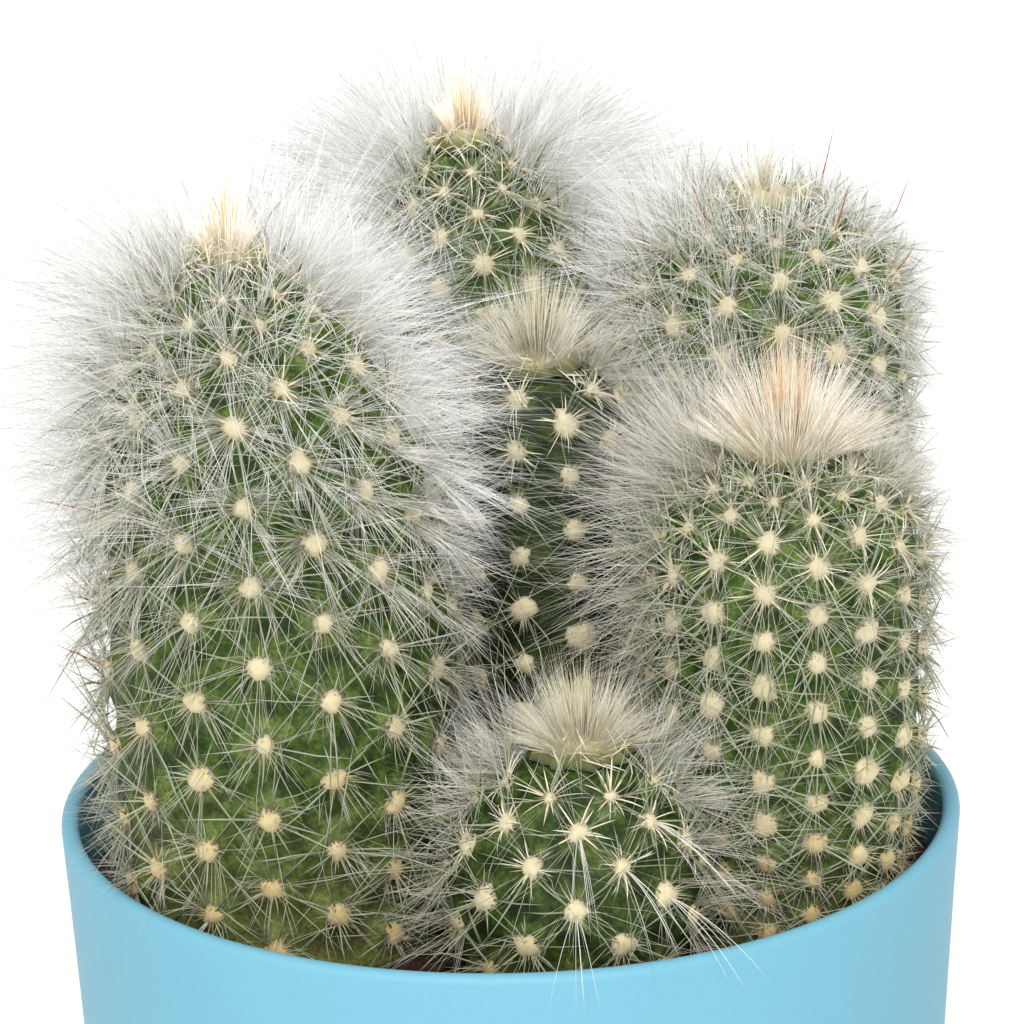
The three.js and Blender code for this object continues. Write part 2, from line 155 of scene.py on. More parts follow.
STEMS = (
    Stem(
        "left_front", (-21.8, -13.3), 16.8, 68.4, (-4.3, 0), dome=1.37, square=2.1, taper=0.3, foot=0.9,
        ribs=16, turn=18.7, row_gap=3.96, old_rows=0.86, crown=(4, 11), spine=(7, 11),
    ),
    Stem(
        "back", (-0.2, 23.6), 11.8, 68.9, (-3, 1.6), dome=1.9, square=2, taper=0.1, foot=0.84,
        ribs=14, turn=3.4, row_gap=2.88, old_rows=1.3, crown=(3.4, 10), spine=(7, 10.5),
    ),
    Stem(
        "back_right", (25.9, 15), 14, 63.5, (0.9, 3.2), dome=0.85, square=2.1, taper=0, foot=0.73,
        ribs=16, turn=-17.7, row_gap=2.46, old_rows=1.4, crown=(5, 8.5), spine=(7, 9.5),
    ),
    Stem(
        "middle", (4.9, 1.7), 9, 52.3, (-1.3, 1.2), dome=0.7, square=2.4, taper=0.2, foot=0.86,
        ribs=10, turn=16.4, row_gap=2.82, old_rows=1, crown=(4.2, 12.5), spine=(6, 8.5),
    ),
    Stem(
        "right_front", (26.9, -12.9), 13, 47.8, (0.6, -0.9), dome=1, square=2.5, taper=0.05, foot=0.8,
        ribs=16, turn=10.5, row_gap=2.42, old_rows=0.85, crown=(5, 14.5), spine=(6.5, 10),
    ),
    Stem(
        "front", (5.9, -26.8), 12.1, 23.2, (1.2, 0.9), dome=1.41, square=2.3, taper=0.07, foot=0.87,
        ribs=16, turn=22, row_gap=3.98, old_rows=1, crown=(4.8, 11.5), spine=(6, 9),
    ),
)


@dataclass(frozen=True)
class Coat:
    """The looks of one stem: its shortest and longest hairs in millimetres, how dense they are all round
    and on its upper front, how they rise and how beige they are; their length at the right beside the
    others, how bare the crown's front is, and a tone that scales how light the skin is painted and sets
    how dark its spines are; the spines of an areole, and the hairs round the crown, in the halo and in the
    tuft; how much of the crown's width the tuft takes up, how wide its golden middle is, how many degrees
    its edge leans out, and the colours of its middle and of its hairs' roots, middles and tips. The middle
    stem's low tone is painted shade, since it stands in the shade of the stems round it."""

    shortest: float
    longest: float
    density: float
    veil: float
    rise: float
    beige: float
    right: float
    bare: float
    tone: float
    spines: int
    fan: int
    halo: int
    tuft: int
    core: float
    golden: float
    spread: float
    colours: tuple


COATS = {
    "left_front": Coat(
        shortest=5.5, longest=22, density=1.05, veil=2.8, rise=-0.35, beige=0.0,
        right=0.75, bare=1, tone=1.05, spines=15, fan=2600, halo=2800,
        tuft=260, core=0.5, golden=0.7, spread=34, colours=("#eccb80", "#efe2c6", "#f4ebde", "#f5eae9"),
    ),
    "back": Coat(
        shortest=5.5, longest=22, density=2.2, veil=0.4, rise=-0.35, beige=0.0,
        right=1, bare=1, tone=1.0, spines=12, fan=2400, halo=7500,
        tuft=220, core=0.5, golden=0.8, spread=34, colours=("#ecd092", "#f0e4c8", "#f5ecde", "#f6eeea"),
    ),
    "back_right": Coat(
        shortest=5.5, longest=14, density=1.25, veil=1.9, rise=-0.35, beige=0.05,
        right=0.5, bare=0.5, tone=1.25, spines=12, fan=1800, halo=2400,
        tuft=100, core=0.6, golden=0.5, spread=60, colours=("#e6d6ba", "#e8e0cc", "#eeebe4", "#f2f1ee"),
    ),
    # The middle stem stands in the shade of the others: its low tone is painted shade on its skin and spines,
    # and its beige hairs and greyer tuft colours are painted shade too.
    "middle": Coat(
        shortest=5.5, longest=15, density=0.05, veil=0.05, rise=-0.35, beige=0.6,
        right=1, bare=1, tone=0.36, spines=5, fan=420, halo=30,
        tuft=700, core=0.85, golden=0.6, spread=74, colours=("#d2c8a4", "#c4bea4", "#c6c3b5", "#cccac2"),
    ),
    "right_front": Coat(
        shortest=6, longest=19, density=0.8, veil=0.8, rise=-0.35, beige=0.55,
        right=0.4, bare=1, tone=1.15, spines=14, fan=1900, halo=900,
        tuft=1500, core=0.96, golden=0.42, spread=74, colours=("#ecc594", "#d0c8aa", "#d2cdbe", "#d6d3cb"),
    ),
    "front": Coat(
        shortest=11, longest=15, density=0.9, veil=0.3, rise=-0.2, beige=0.5,
        right=1, bare=1, tone=0.7, spines=13, fan=700, halo=200,
        tuft=900, core=0.85, golden=0.5, spread=82, colours=("#d6cda8", "#c9c3aa", "#bfbaa8", "#a6a294"),
    ),
}


def smooth(value):
    """An S-curve from 0 to 1: 3t^2 - 2t^3."""
    t = np.clip(value, 0, 1)
    return t * t * (3 - 2 * t)


def unit(vectors):
    """Vectors at length one."""
    return vectors / np.maximum(np.linalg.norm(vectors, axis=-1, keepdims=True), 1e-9)


def circle(count):
    """Angles evenly round a circle."""
    return 2 * np.pi * np.arange(count) / count


def around(angle):
    """Level directions at angles round the z axis."""
    return np.stack([np.cos(angle), np.sin(angle), np.zeros_like(angle)], axis=-1)


def between(first, second, angle):
    """Directions at an angle from the first towards the second: cos(angle) first + sin(angle) second."""
    return first * np.cos(angle)[..., None] + second * np.sin(angle)[..., None]


def turns(rng, shape):
    """Angles drawn evenly round a circle."""
    return rng.uniform(0, 2 * np.pi, shape)


def drawn_unit(rng, count):
    """Directions drawn evenly over a ball."""
    return unit(rng.normal(size=(count, 3)))


def linear(code):
    """An sRGB hex colour as linear RGBA."""
    channels = [int(code[k:k + 2], 16) / 255 for k in (1, 3, 5)]
    return (*[c / 12.92 if c <= 0.04045 else ((c + 0.055) / 1.055) ** 2.4 for c in channels], 1.0)


def pot_radius(z):
    """The pot's outer radius, which grows in a straight line with height."""
    return RIM_RADIUS - (POT_HEIGHT - z) * POT_TAPER


def stem_radius(stem, height):
    """The mean radius: an S-curve from the foot, less a cubic taper, under a blunt dome."""
    dome_height = stem.dome * stem.radius
    into_dome = np.clip((height - stem.height + dome_height) / dome_height, 0, 1)
    foot = stem.foot + (1 - stem.foot) * smooth(height / (0.45 * stem.height))
    taper = 1 - stem.taper * np.clip(height / stem.height, 0, 1) ** 3
    return stem.radius * foot * taper * np.sqrt(np.maximum(0, 1 - into_dome ** stem.square))


def stem_axis(stem, height):
    """The middle line, which leans with the cube of the height."""
    height = np.asarray(height, float)
    bend = (height / stem.height) ** 3
    parts = (stem.at[0] + stem.lean[0] * bend, stem.at[1] + stem.lean[1] * bend, SOIL_TOP + height)
    return np.stack(parts, axis=-1)


def stem_point(stem, height, radial):
    """The point of the mean skin at a height, straight out from the middle line."""
    return stem_axis(stem, height) + radial * stem_radius(stem, height)[..., None]


def crown_height(stem):
    """Where the dome narrows to the radius of the woolly crown."""
    heights = np.linspace(stem.height - stem.dome * stem.radius, stem.height, CROWN_SAMPLES)
    return heights[np.argmin(np.abs(stem_radius(stem, heights) - stem.crown[0] - GAP))]


def crown_base(stem):
    """The middle of the crown's underside."""
    return stem_axis(stem, crown_height(stem)) + UP * GAP


def crown_top(stem):
    """The height of the crown's cushion."""
    return max(CROWN_CUSHION, stem.height - crown_height(stem) + 0.4)


def crown_core(stem, t):
    """The cushion's (radius, height) at a share t of its height. It is round on top, as (1 - t^2)^0.5."""
    return stem.crown[0] * np.sqrt(1 - t ** 2), crown_top(stem) * t


def row_heights(stem):
    """The height of each row of areoles: equal steps of length along the skin over the local gap."""
    start = stem.height - stem.dome * stem.radius
    top = crown_height(stem)
    dome = start + (top - start) * np.sin(np.linspace(0, np.pi / 2, ROW_SAMPLES)[1:])
    samples = np.concatenate([np.linspace(0, start, ROW_SAMPLES), dome])
    radius = stem_radius(stem, samples)
    old = stem.old_rows + (1 - stem.old_rows) * smooth(samples / (0.4 * stem.height))
    young = 0.45 + 0.55 * np.clip(radius / stem.radius, 0, 1)
    steps = np.hypot(np.diff(samples), np.diff(radius)) / (stem.row_gap * old * young)[1:]
    so_far = np.concatenate([[0], np.cumsum(steps)])
    return np.interp(np.linspace(0, so_far[-1], round(so_far[-1]) + 1), so_far, samples)


def towards_right(radial):
    """From 0 on the left and the back to 1 at the right."""
    return smooth(1.2 * radial[:, 0])


def towards_front(radial):
    """From 0 on the back and the sides to 1 at the front, where the photograph shows the skin."""
    return smooth(0.1 - 1.6 * radial[:, 1])


class Rows:
    """Arrays of one length, one for each field of a dataclass."""

    def picked(self, which):
        """The same with the rows that which names: a mask, or numbers that may repeat."""
        return type(self)(*[getattr(self, field.name)[which] for field in fields(self)])


@dataclass
class Areoles(Rows):
    """Areoles: the point on the skin, the directions round, along and outwards, straight out from the
    middle line, the share of the stem's height, the distance between two ribs and the skin around."""

    at: np.ndarray
    round_: np.ndarray
    along: np.ndarray
    outward: np.ndarray
    radial: np.ndarray
    share: np.ndarray
    spacing: np.ndarray
    area: np.ndarray

    def repeated(self, number):
        """Each areole as many times as number says."""
        return self.picked(np.repeat(np.arange(len(self.share)), number))

    def pads(self, sizes):
        """The radius of each felt pad, which stays clear of its neighbours."""
        return np.minimum(sizes.felt_radius / MM, 0.4 * self.spacing)


class StemShape:
    """A stem's skin as a function of u, counted in ribs round it, and v, counted in rows up it."""

    def __init__(self, index, stem):
        self.index = index
        self.stem = stem
        self.coat = COATS[stem.name]
        self.heights = row_heights(stem)
        self.last = len(self.heights) - 1
        self.areoles = self.all_areoles()
        heights = stem.height * (np.arange(BALLS) + 0.5) / BALLS
        self.balls = stem_axis(stem, heights), np.minimum(stem_radius(stem, heights), stem.height - heights)

    def draws(self, seed):
        """The stem's own random draws of one kind."""
        return np.random.default_rng(seed + self.index)

    def height(self, v):
        """The height above the soil at v rows up."""
        return np.interp(v, np.arange(self.last + 1), self.heights)

    def radial(self, u):
        """The level direction at u ribs round."""
        return around(math.radians(self.stem.turn - 90) + 2 * np.pi * u / self.stem.ribs)

    def mean_skin(self, u, v):
        """Mean skin point, with the directions round, along and outwards, and straight out."""
        radial = self.radial(u)
        round_ = np.cross(UP, radial)
        height = self.height(v)
        step = 0.01
        at, above, below = [stem_point(self.stem, height + rise, radial) for rise in (0, step, -step)]
        along = unit(above - below)
        return at, round_, along, unit(np.cross(round_, along)), radial

    def relief(self, u, v):
        """From -1 to 1: low warts as cos(pi u) cos(pi v) on ribs as cos(2 pi u), level at both ends."""
        wart = np.cos(np.pi * u) * np.cos(np.pi * v)
        rib = np.cos(2 * np.pi * u)
        return smooth(v) * smooth(self.last - v) * (0.75 * wart + 0.25 * rib)

    def skin(self, u, v):
        """The skin's point, which is the mean skin moved outwards by the relief."""
        at, _, _, outward, _ = self.mean_skin(u, v)
        return at + outward * (RELIEF * self.stem.radius * self.relief(u, v))[..., None]

    def all_areoles(self):
        """An areole at each crossing of a rib and a row whose sum is even."""
        v, u = np.meshgrid(np.arange(1, self.last), np.arange(self.stem.ribs), indexing="ij")
        keep = (u + v) % 2 == 0
        u, v = u[keep].astype(float), v[keep].astype(float)
        height = self.height(v)
        spacing = 2 * np.pi * stem_radius(self.stem, height) / self.stem.ribs
        area = 2 * spacing * np.gradient(self.heights)[v.astype(int)].clip(1.5)
        directions = self.mean_skin(u, v)[1:]
        return Areoles(self.skin(u, v), *directions, height / self.stem.height, spacing, area)

    def distance(self, points):
        """The distance from each point to the nearest ball of the stem, less its radius."""
        nearest = np.full(points.shape[:-1], np.inf)
        for middle, radius in zip(*self.balls):
            nearest = np.minimum(nearest, np.linalg.norm(points - middle, axis=-1) - radius)
        return nearest


SHAPES = tuple(StemShape(index, stem) for index, stem in enumerate(STEMS))
SHAPE = {shape.stem.name: shape for shape in SHAPES}


def blocked(shape, points, own_margin):
    """Whether each point lies in the pot's wall, the soil, another stem or its own stem."""
    out = np.hypot(points[..., 0], points[..., 1])
    z = points[..., 2]
    outer = pot_radius(z)
    inside = out > outer - POT_WALL - WALL_ROOM
    stopped = (z < POT_HEIGHT + WALL_ROOM) & inside & (out < outer + OUTER_ROOM)
    stopped |= (z < SOIL_TOP + SOIL_ROOM) & (out < outer)
    low, high = np.array(CAD_BOX) / MM
    stopped |= ((points < low - BOX_ROOM) | (points > high + BOX_ROOM)).any(-1)
    for other in SHAPES:
        stopped |= other.distance(points) < (own_margin if other is shape else STEM_ROOM)
    return stopped


@dataclass
class Strands(Rows):
    """Curved strands: root + length (t direction + t^2 bend + t sin(8t + phase) wave), t from 0 to 1.
    A strand's shade, from 0 to 1, turns its colour towards its material's tint."""

    root: np.ndarray
    direction: np.ndarray
    length: np.ndarray
    radius: np.ndarray
    shade: np.ndarray = 0.0
    bend: np.ndarray = 0.0
    wave: np.ndarray = 0.0
    phase: np.ndarray = 0.0

    def __post_init__(self):
        """Gives every strand what is the same for all."""
        count = len(self.root)
        shapes = {"radius": count, "shade": count, "phase": count, "bend": (count, 3), "wave": (count, 3)}
        for name, shape in shapes.items():
            setattr(self, name, np.broadcast_to(getattr(self, name), shape))

    def points(self, t):
        """The middle line of every strand at each t."""
        t = np.asarray(t, float)[None, :, None]
        sway = np.sin(8 * t + self.phase[:, None, None]) * t
        path = self.direction[:, None] * t + self.bend[:, None] * t * t + self.wave[:, None] * sway
        return self.root[:, None] + self.length[:, None, None] * path

    def trimmed(self, shape, own_margin=0.1, least=0.3):
        """Cuts each strand before it meets something, and drops those that are left too short."""
        t = np.linspace(0.2, 1, 9)
        stopped = blocked(shape, self.points(t), own_margin)
        first = np.where(stopped.any(1), stopped.argmax(1), len(t))
        share = np.concatenate([[0.1], t])[first]
        self.length = self.length * share
        return self.picked(share > least)


def joined(groups):
    """Several groups of strands as one."""
    return Strands(*[
        np.concatenate([getattr(group, field.name) for group in groups]) for field in fields(Strands)
    ])


def net_faces(rings, sides):
    """Triangles between neighbouring rings of points that run once round an axis, faces outwards."""
    ring, k = np.meshgrid(np.arange(rings - 1), np.arange(sides), indexing="ij")
    a, b = ring * sides + k, ring * sides + (k + 1) % sides
    c, d = b + sides, a + sides
    return np.concatenate([np.stack(corners, -1).reshape(-1, 3) for corners in ((a, b, c), (a, c, d))])


def capped_faces(rings, sides):
    """The same, closed below and above with the two points that come after the rings."""
    k = np.arange(sides)
    after = (k + 1) % sides
    end, last = rings * sides, (rings - 1) * sides
    bottom = np.stack([np.full(sides, end), after, k], axis=1)
    top = np.stack([np.full(sides, end + 1), last + k, last + after], axis=1)
    return np.concatenate([net_faces(rings, sides), bottom, top])


def closed_rings(rows):
    """Rings of points from the bottom to the top as one closed surface, with a point at each end."""
    vertices = np.concatenate([rows.reshape(-1, 3), [rows[0].mean(0), rows[-1].mean(0)]])
    return vertices, capped_faces(*rows.shape[:2])


def copied(faces, points, count):
    """The same faces for each of count copies with so many points each."""
    return (faces + points * np.arange(count)[:, None, None]).reshape(-1, 3)


def turned(profile, sides):
    """Rings made by turning (radius, height) pairs round the z axis."""
    profile = np.asarray(profile, float)[..., None]
    return profile[:, :1] * around(circle(sides)) + profile[:, 1:] * UP


def strand_mesh(strands, steps):
    """Three-sided tubes round the strands' middle lines, thinning with (1 - t)^0.6, with closed roots."""
    count = len(strands.length)
    t = np.linspace(0, 1, steps + 1)
    middle = strands.points(t)
    helper = np.where(np.abs(strands.direction[:, 2:3]) > 0.8, [[1.0, 0, 0]], [UP])
    side = unit(np.cross(strands.direction, helper))
    ring = between(side[:, None], np.cross(strands.direction, side)[:, None], circle(3))
    width = strands.radius[:, None] * (1 - t[:-1]) ** 0.6
    tube = middle[:, :-1, None] + ring[:, None] * width[:, :, None, None]
    vertices = np.concatenate([tube.reshape(count, -1, 3), middle[:, -1:]], axis=1)

    k = np.arange(3)
    low = 3 * (steps - 1)
    tip = np.stack([low + k, low + (k + 1) % 3, np.full(3, 3 * steps)], axis=1)
    faces = copied(np.concatenate([[[0, 2, 1]], net_faces(steps, 3), tip]), vertices.shape[1], count)

    across = np.concatenate([np.tile(k, steps), [1]]) * STRAND_WIDTH
    up = np.concatenate([np.repeat(t[:-1], 3), [1]])
    u = 0.02 + (0.96 - 2 * STRAND_WIDTH) * strands.shade.clip(0, 1)[:, None] + across[None]
    v = np.broadcast_to(0.02 + 0.96 * up[None], u.shape)
    return vertices.reshape(-1, 3), faces, np.stack([u, v], axis=-1).reshape(-1, 2)


def make_object(name, vertices, faces, material, uv=None, values=None):
    """A smooth mesh object from millimetre points and triangles, with an optional map and values."""
    mesh = bpy.data.meshes.new(name)
    faces = np.asarray(faces, np.int32)
    mesh.vertices.add(len(vertices))
    mesh.vertices.foreach_set("co", (np.asarray(vertices) * MM).astype(np.float32).ravel())
    mesh.loops.add(faces.size)
    mesh.loops.foreach_set("vertex_index", faces.ravel())
    mesh.polygons.add(len(faces))
    mesh.polygons.foreach_set("loop_start", np.arange(0, faces.size, 3, dtype=np.int32))
    mesh.polygons.foreach_set("use_smooth", np.ones(len(faces), bool))
    mesh.update(calc_edges=True)
    if uv is not None:
        layer = mesh.uv_layers.new(name=STRAND_MAP)
        layer.uv.foreach_set("vector", uv[faces.ravel()].astype(np.float32).ravel())
    for label, numbers in (values or {}).items():
        attribute = mesh.attributes.new(label, "FLOAT", "POINT")
        attribute.data.foreach_set("value", np.asarray(numbers, np.float32))
    mesh.materials.append(material)
    made = bpy.data.objects.new(name, mesh)
    bpy.context.collection.objects.link(made)
    return made


def declare(piece, slot, *nodes):
    """Puts a piece on the model's one body, in the place of its nodes. The slot is not used."""
    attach(piece, BODY)
    if nodes:
        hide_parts(*nodes)


def add_strands(name, strands, steps, material):
    """Makes a piece of strands."""
    vertices, faces, uv = strand_mesh(strands, steps)
    declare(make_object(name, vertices, faces, material, uv), "cactus_wool")


def cut_holes(piece, holes):
    """Cuts upright round holes, given as (x, y, radius, bottom, top), out of a closed mesh."""
    points = np.stack([
        closed_rings(turned([(radius, bottom), (radius, top)], HOLE_SIDES) + [x, y, 0])[0]
        for x, y, radius, bottom, top in holes
    ])
    faces = copied(capped_faces(2, HOLE_SIDES), points.shape[1], len(points))
    cutter = make_object("cutter", points.reshape(-1, 3), faces, piece.data.materials[0])
    modifier = piece.modifiers.new("holes", "BOOLEAN")
    modifier.operation = "DIFFERENCE"
    modifier.solver = "EXACT"
    modifier.object = cutter
    bpy.context.view_layer.update()
    evaluated = piece.evaluated_get(bpy.context.evaluated_depsgraph_get())
    mesh = bpy.data.meshes.new_from_object(evaluated)
    old = piece.data
    piece.modifiers.clear()
    piece.data = mesh
    mesh.name = piece.name
    bpy.data.meshes.remove(old)
    bpy.data.objects.remove(cutter)


def new_material(name):
    """An empty node material, and a function that adds a node to it."""
    material = bpy.data.materials.new(name)
    material.use_nodes = True
    tree = material.node_tree
    tree.nodes.clear()

    def add(kind, values=None, links=None, **settings):
        """Adds a node with its properties, the values of its sockets and the links into them, each from
        an output or from a node's first output."""
        node = tree.nodes.new(kind)
        for key, value in settings.items():
            setattr(node, key, value)
        for socket, value in (values or {}).items():
            node.inputs[socket].default_value = value
        for socket, source in (links or {}).items():
            tree.links.new(getattr(source, "outputs", [source])[0], node.inputs[socket])
        return node

    return material, add


def set_stops(node, stops):
    """Gives a colour ramp its (place, colour) stops."""
    elements = node.color_ramp.elements
    while len(elements) < len(stops):
        elements.new(0.5)
    for element, (place, colour) in zip(elements, stops):
        element.position = place
        element.color = colour


def marks(size):
    """The scale of a pattern on Object coordinates whose marks are so many millimetres wide."""
    return 1 / (size * MM)


def pot_material(colours):
    """Polypropylene, injection moulded: matt, even and faintly grained, so it shows soft wide light."""
    material, add = new_material("moulded_polypropylene")
    where = add("ShaderNodeTexCoord").outputs["Object"]
    cloud = add("ShaderNodeTexNoise", {"Scale": marks(POT_CLOUD), "Detail": 3.0}, {"Vector": where})
    grain = add("ShaderNodeTexNoise", {"Scale": marks(POT_GRAIN), "Detail": 2.0}, {"Vector": where})
    tint = add("ShaderNodeMix", {6: colours.pot, 7: colours.pot_light}, {"Factor": cloud}, data_type="RGBA")
    fleck = add("ShaderNodeMapRange", {"To Min": 0.94, "To Max": 1.04}, {"Value": grain})
    colour = add("ShaderNodeVectorMath", None, {0: tint.outputs[2], 1: fleck}, operation="MULTIPLY")
    rough = add("ShaderNodeMapRange", {"To Min": 0.42, "To Max": 0.56}, {"Value": cloud})
    bump = add("ShaderNodeBump", {"Strength": 0.25, "Distance": 0.08 * MM}, {"Height": grain})
    shader = add(
        "ShaderNodeBsdfPrincipled", {"IOR": 1.49, "Specular IOR Level": 0.2},
        {"Base Color": colour, "Roughness": rough, "Normal": bump},
    )
    add("ShaderNodeOutputMaterial", None, {"Surface": shader})
    return material


def soil_material(colours):
    """Peat compost, damp and crumbled: nearly black, with brown and reddish crumbs and no gloss."""
    material, add = new_material("damp_peat_compost")
    where = add("ShaderNodeTexCoord").outputs["Object"]
    lumps = add(
        "ShaderNodeTexNoise", {"Scale": marks(SOIL_LUMP), "Detail": 6.0, "Roughness": 0.7}, {"Vector": where}
    )
    grit = add("ShaderNodeTexVoronoi", {"Scale": marks(SOIL_GRIT)}, {"Vector": where})
    ramp = add("ShaderNodeValToRGB", None, {"Fac": lumps})
    set_stops(ramp, [(0.3, colours.soil), (0.55, colours.soil_brown), (0.72, colours.soil_red)])
    bump = add("ShaderNodeBump", {"Strength": 0.7, "Distance": 0.5 * MM}, {"Height": grit})
    shader = add(
        "ShaderNodeBsdfPrincipled", {"Roughness": 0.92, "Specular IOR Level": 0.2},
        {"Base Color": ramp, "Normal": bump},
    )
    add("ShaderNodeOutputMaterial", None, {"Surface": shader})
    return material


def skin_material(colours):
    """Living cactus skin, waxed: deep green, lighter on its warts, paler when young and corky low down."""
    material, add = new_material("waxy_cactus_skin")
    where = add("ShaderNodeTexCoord").outputs["Object"]
    relief, share, tone = [
        add("ShaderNodeAttribute", attribute_name=name).outputs["Fac"] for name in ("relief", "share", "tone")
    ]
    blotch = add(
        "ShaderNodeTexNoise",
        {"Scale": marks(SKIN_BLOTCH), "Detail": 5.0, "Roughness": 0.7},
        {"Vector": where},
    )
    stipple = add("ShaderNodeTexNoise", {"Scale": marks(SKIN_STIPPLE), "Detail": 2.0}, {"Vector": where})
    raised = add("ShaderNodeMath", {1: 0.18, 2: 0.0}, {0: relief}, operation="MULTIPLY_ADD")
    lightness = add("ShaderNodeMath", None, {0: raised, 1: blotch}, operation="ADD")
    green = add("ShaderNodeValToRGB", None, {"Fac": lightness})
    set_stops(green, [(0.36, colours.skin_dark), (0.5, colours.skin), (0.66, colours.skin_light)])
    worn = add(
        "ShaderNodeMapRange",
        {"From Min": 0.02, "From Max": 0.3, "To Min": 0.5, "To Max": 0.0},
        {"Value": share},
    )
    patch = add("ShaderNodeMath", None, {0: worn, 1: blotch}, operation="MULTIPLY")
    cork = add("ShaderNodeMix", {7: colours.skin_cork}, {0: patch, 6: green}, data_type="RGBA")
    fleck = add(
        "ShaderNodeMapRange",
        {"From Min": 0.35, "From Max": 0.65, "To Min": 0.7, "To Max": 1.3},
        {"Value": stipple},
    )
    # Each stem's tone scales the skin's colour; the middle stem's low tone is painted shade from the stems
    # round it.
    own = add("ShaderNodeMath", None, {0: tone, 1: fleck}, operation="MULTIPLY")
    colour = add("ShaderNodeVectorMath", None, {0: cork.outputs[2], "Scale": own}, operation="SCALE")
    bump = add("ShaderNodeBump", {"Strength": 0.3, "Distance": 0.1 * MM}, {"Height": stipple})
    shader = add(
        "ShaderNodeBsdfPrincipled", {"Roughness": 0.6, "IOR": 1.42, "Specular IOR Level": 0.25},
        {"Base Color": colour, "Normal": bump},
    )
    add("ShaderNodeOutputMaterial", None, {"Surface": shader})
    return material


def felt_material(name, stops):
    """Areole felt, matted plant down: dull. Its colour changes with its share of the height."""
    material, add = new_material(name)
    where = add("ShaderNodeTexCoord").outputs["Object"]
    share = add("ShaderNodeAttribute", attribute_name="share").outputs["Fac"]
    down = add("ShaderNodeTexNoise", {"Scale": marks(FELT_DOWN), "Detail": 3.0}, {"Vector": where})
    patch = add("ShaderNodeTexNoise", {"Scale": marks(FELT_PATCH), "Detail": 1.0}, {"Vector": where})
    age = add("ShaderNodeMath", {1: 0.35, 2: -0.18}, {0: patch}, operation="MULTIPLY_ADD")
    aged = add("ShaderNodeMath", None, {0: age, 1: share}, operation="ADD")
    ramp = add("ShaderNodeValToRGB", None, {"Fac": aged})
    set_stops(ramp, stops)
    fleck = add("ShaderNodeMapRange", {"To Min": 0.8, "To Max": 1.12}, {"Value": down})
    colour = add("ShaderNodeVectorMath", None, {0: ramp, 1: fleck}, operation="MULTIPLY")
    bump = add("ShaderNodeBump", {"Strength": 0.5, "Distance": 0.2 * MM}, {"Height": down})
    shader = add(
        "ShaderNodeBsdfPrincipled", {"Roughness": 0.9, "Specular IOR Level": 0.2, "Sheen Weight": 0.3},
        {"Base Color": colour, "Normal": bump},
    )
    add("ShaderNodeOutputMaterial", None, {"Surface": shader})
    return material


def strand_material(name, stops, tint, amount, roughness=0.6, painted_glow=0.34):
    """A plant hair or spine, dry and hollow: pale and dull. It is given painted light, an emission that
    stands in for the light that real hairs pass on and scatter among themselves, and that isn't sampled
    as a light. Its colour runs from root to tip, and a strand's shade turns it towards a tint and takes
    the painted emission away."""
    material, add = new_material(name)
    material.cycles.emission_sampling = "NONE"
    where = add("ShaderNodeUVMap", uv_map=STRAND_MAP)
    parts = add("ShaderNodeSeparateXYZ", None, {0: where})
    ramp = add("ShaderNodeValToRGB", None, {"Fac": parts.outputs["Y"]})
    set_stops(ramp, stops)
    own = add("ShaderNodeMath", {1: amount}, {0: parts}, operation="MULTIPLY")
    mixed = add("ShaderNodeMix", {7: tint}, {0: own, 6: ramp}, data_type="RGBA").outputs[2]
    # Painted light: the emission is strongest on white strands and fades as a strand's shade grows, so beige
    # strands low down in the shade stay dark.
    painted_glow_strength = add("ShaderNodeMath", {1: -painted_glow, 2: painted_glow}, {0: parts}, operation="MULTIPLY_ADD")
    shader = add(
        "ShaderNodeBsdfPrincipled", {"Roughness": roughness, "Specular IOR Level": 0.0},
        {"Base Color": mixed, "Emission Color": mixed, "Emission Strength": painted_glow_strength},
    )
    add("ShaderNodeOutputMaterial", None, {"Surface": shader})
    return material


def shaded(*pairs):
    """Colour stops from (place, sRGB hex) pairs."""
    return [(place, linear(code)) for place, code in pairs]


def colour_property(label, what, code):
    """A colour that a user may change."""
    return bpy.props.FloatVectorProperty(
        name=label, description=what, subtype="COLOR", size=4, min=0, max=1, default=linear(code)
    )


def length_property(label, what, value, low, high):
    """A small size in metres that a user may change."""
    return bpy.props.FloatProperty(
        name=label, description=what, default=value, min=low, max=high, unit="LENGTH", precision=5
    )


def count_property(label, what, value, most):
    """A whole number that a user may change."""
    return bpy.props.IntProperty(name=label, description=what, default=value, min=0, max=most)


class CactusColours(bpy.types.PropertyGroup):
    """The colours of the cactus, the soil and the pot."""

    pot: colour_property("Pot", "Main colour of the plastic", "#68a1b4")
    pot_light: colour_property("Pot, lighter", "Lighter clouds in the plastic", "#6fa6b9")
    soil: colour_property("Soil", "Darkest crumbs of the soil", "#191614")
    soil_brown: colour_property("Soil, brown", "Brown crumbs of the soil", "#35261d")
    soil_red: colour_property("Soil, reddish", "Reddish bits of bark in the soil", "#5a3324")
    skin_dark: colour_property("Skin, dark", "Skin between the warts", "#1f2e0e")
    skin: colour_property("Skin", "Main colour of the skin", "#3a4f1b")
    skin_light: colour_property("Skin, light", "Skin on top of the warts", "#5f6e38")
    skin_cork: colour_property("Skin, corky", "Old skin near the soil", "#8d8150")
    felt_old: colour_property("Felt, old", "Areole felt near the soil", "#bda873")
    felt: colour_property("Felt", "Areole felt half way up", "#cabf9b")
    felt_young: colour_property("Felt, young", "Areole felt near the crown", "#c6bd9e")
    spine: colour_property("Spines", "Radial spines", "#a4aa95")
    spine_root: colour_property("Spines, root", "Radial spines where they grow", "#c6bd9c")
    wool: colour_property("Wool", "Long hairs", "#e5e6e5")
    wool_root: colour_property("Wool, root", "Long hairs where they grow", "#dadad4")
    halo: colour_property("Halo", "Fine hairs that stand out all round", "#cccdcc")
    red: colour_property("Central spines", "The few red-brown central spines", "#9c4a35")


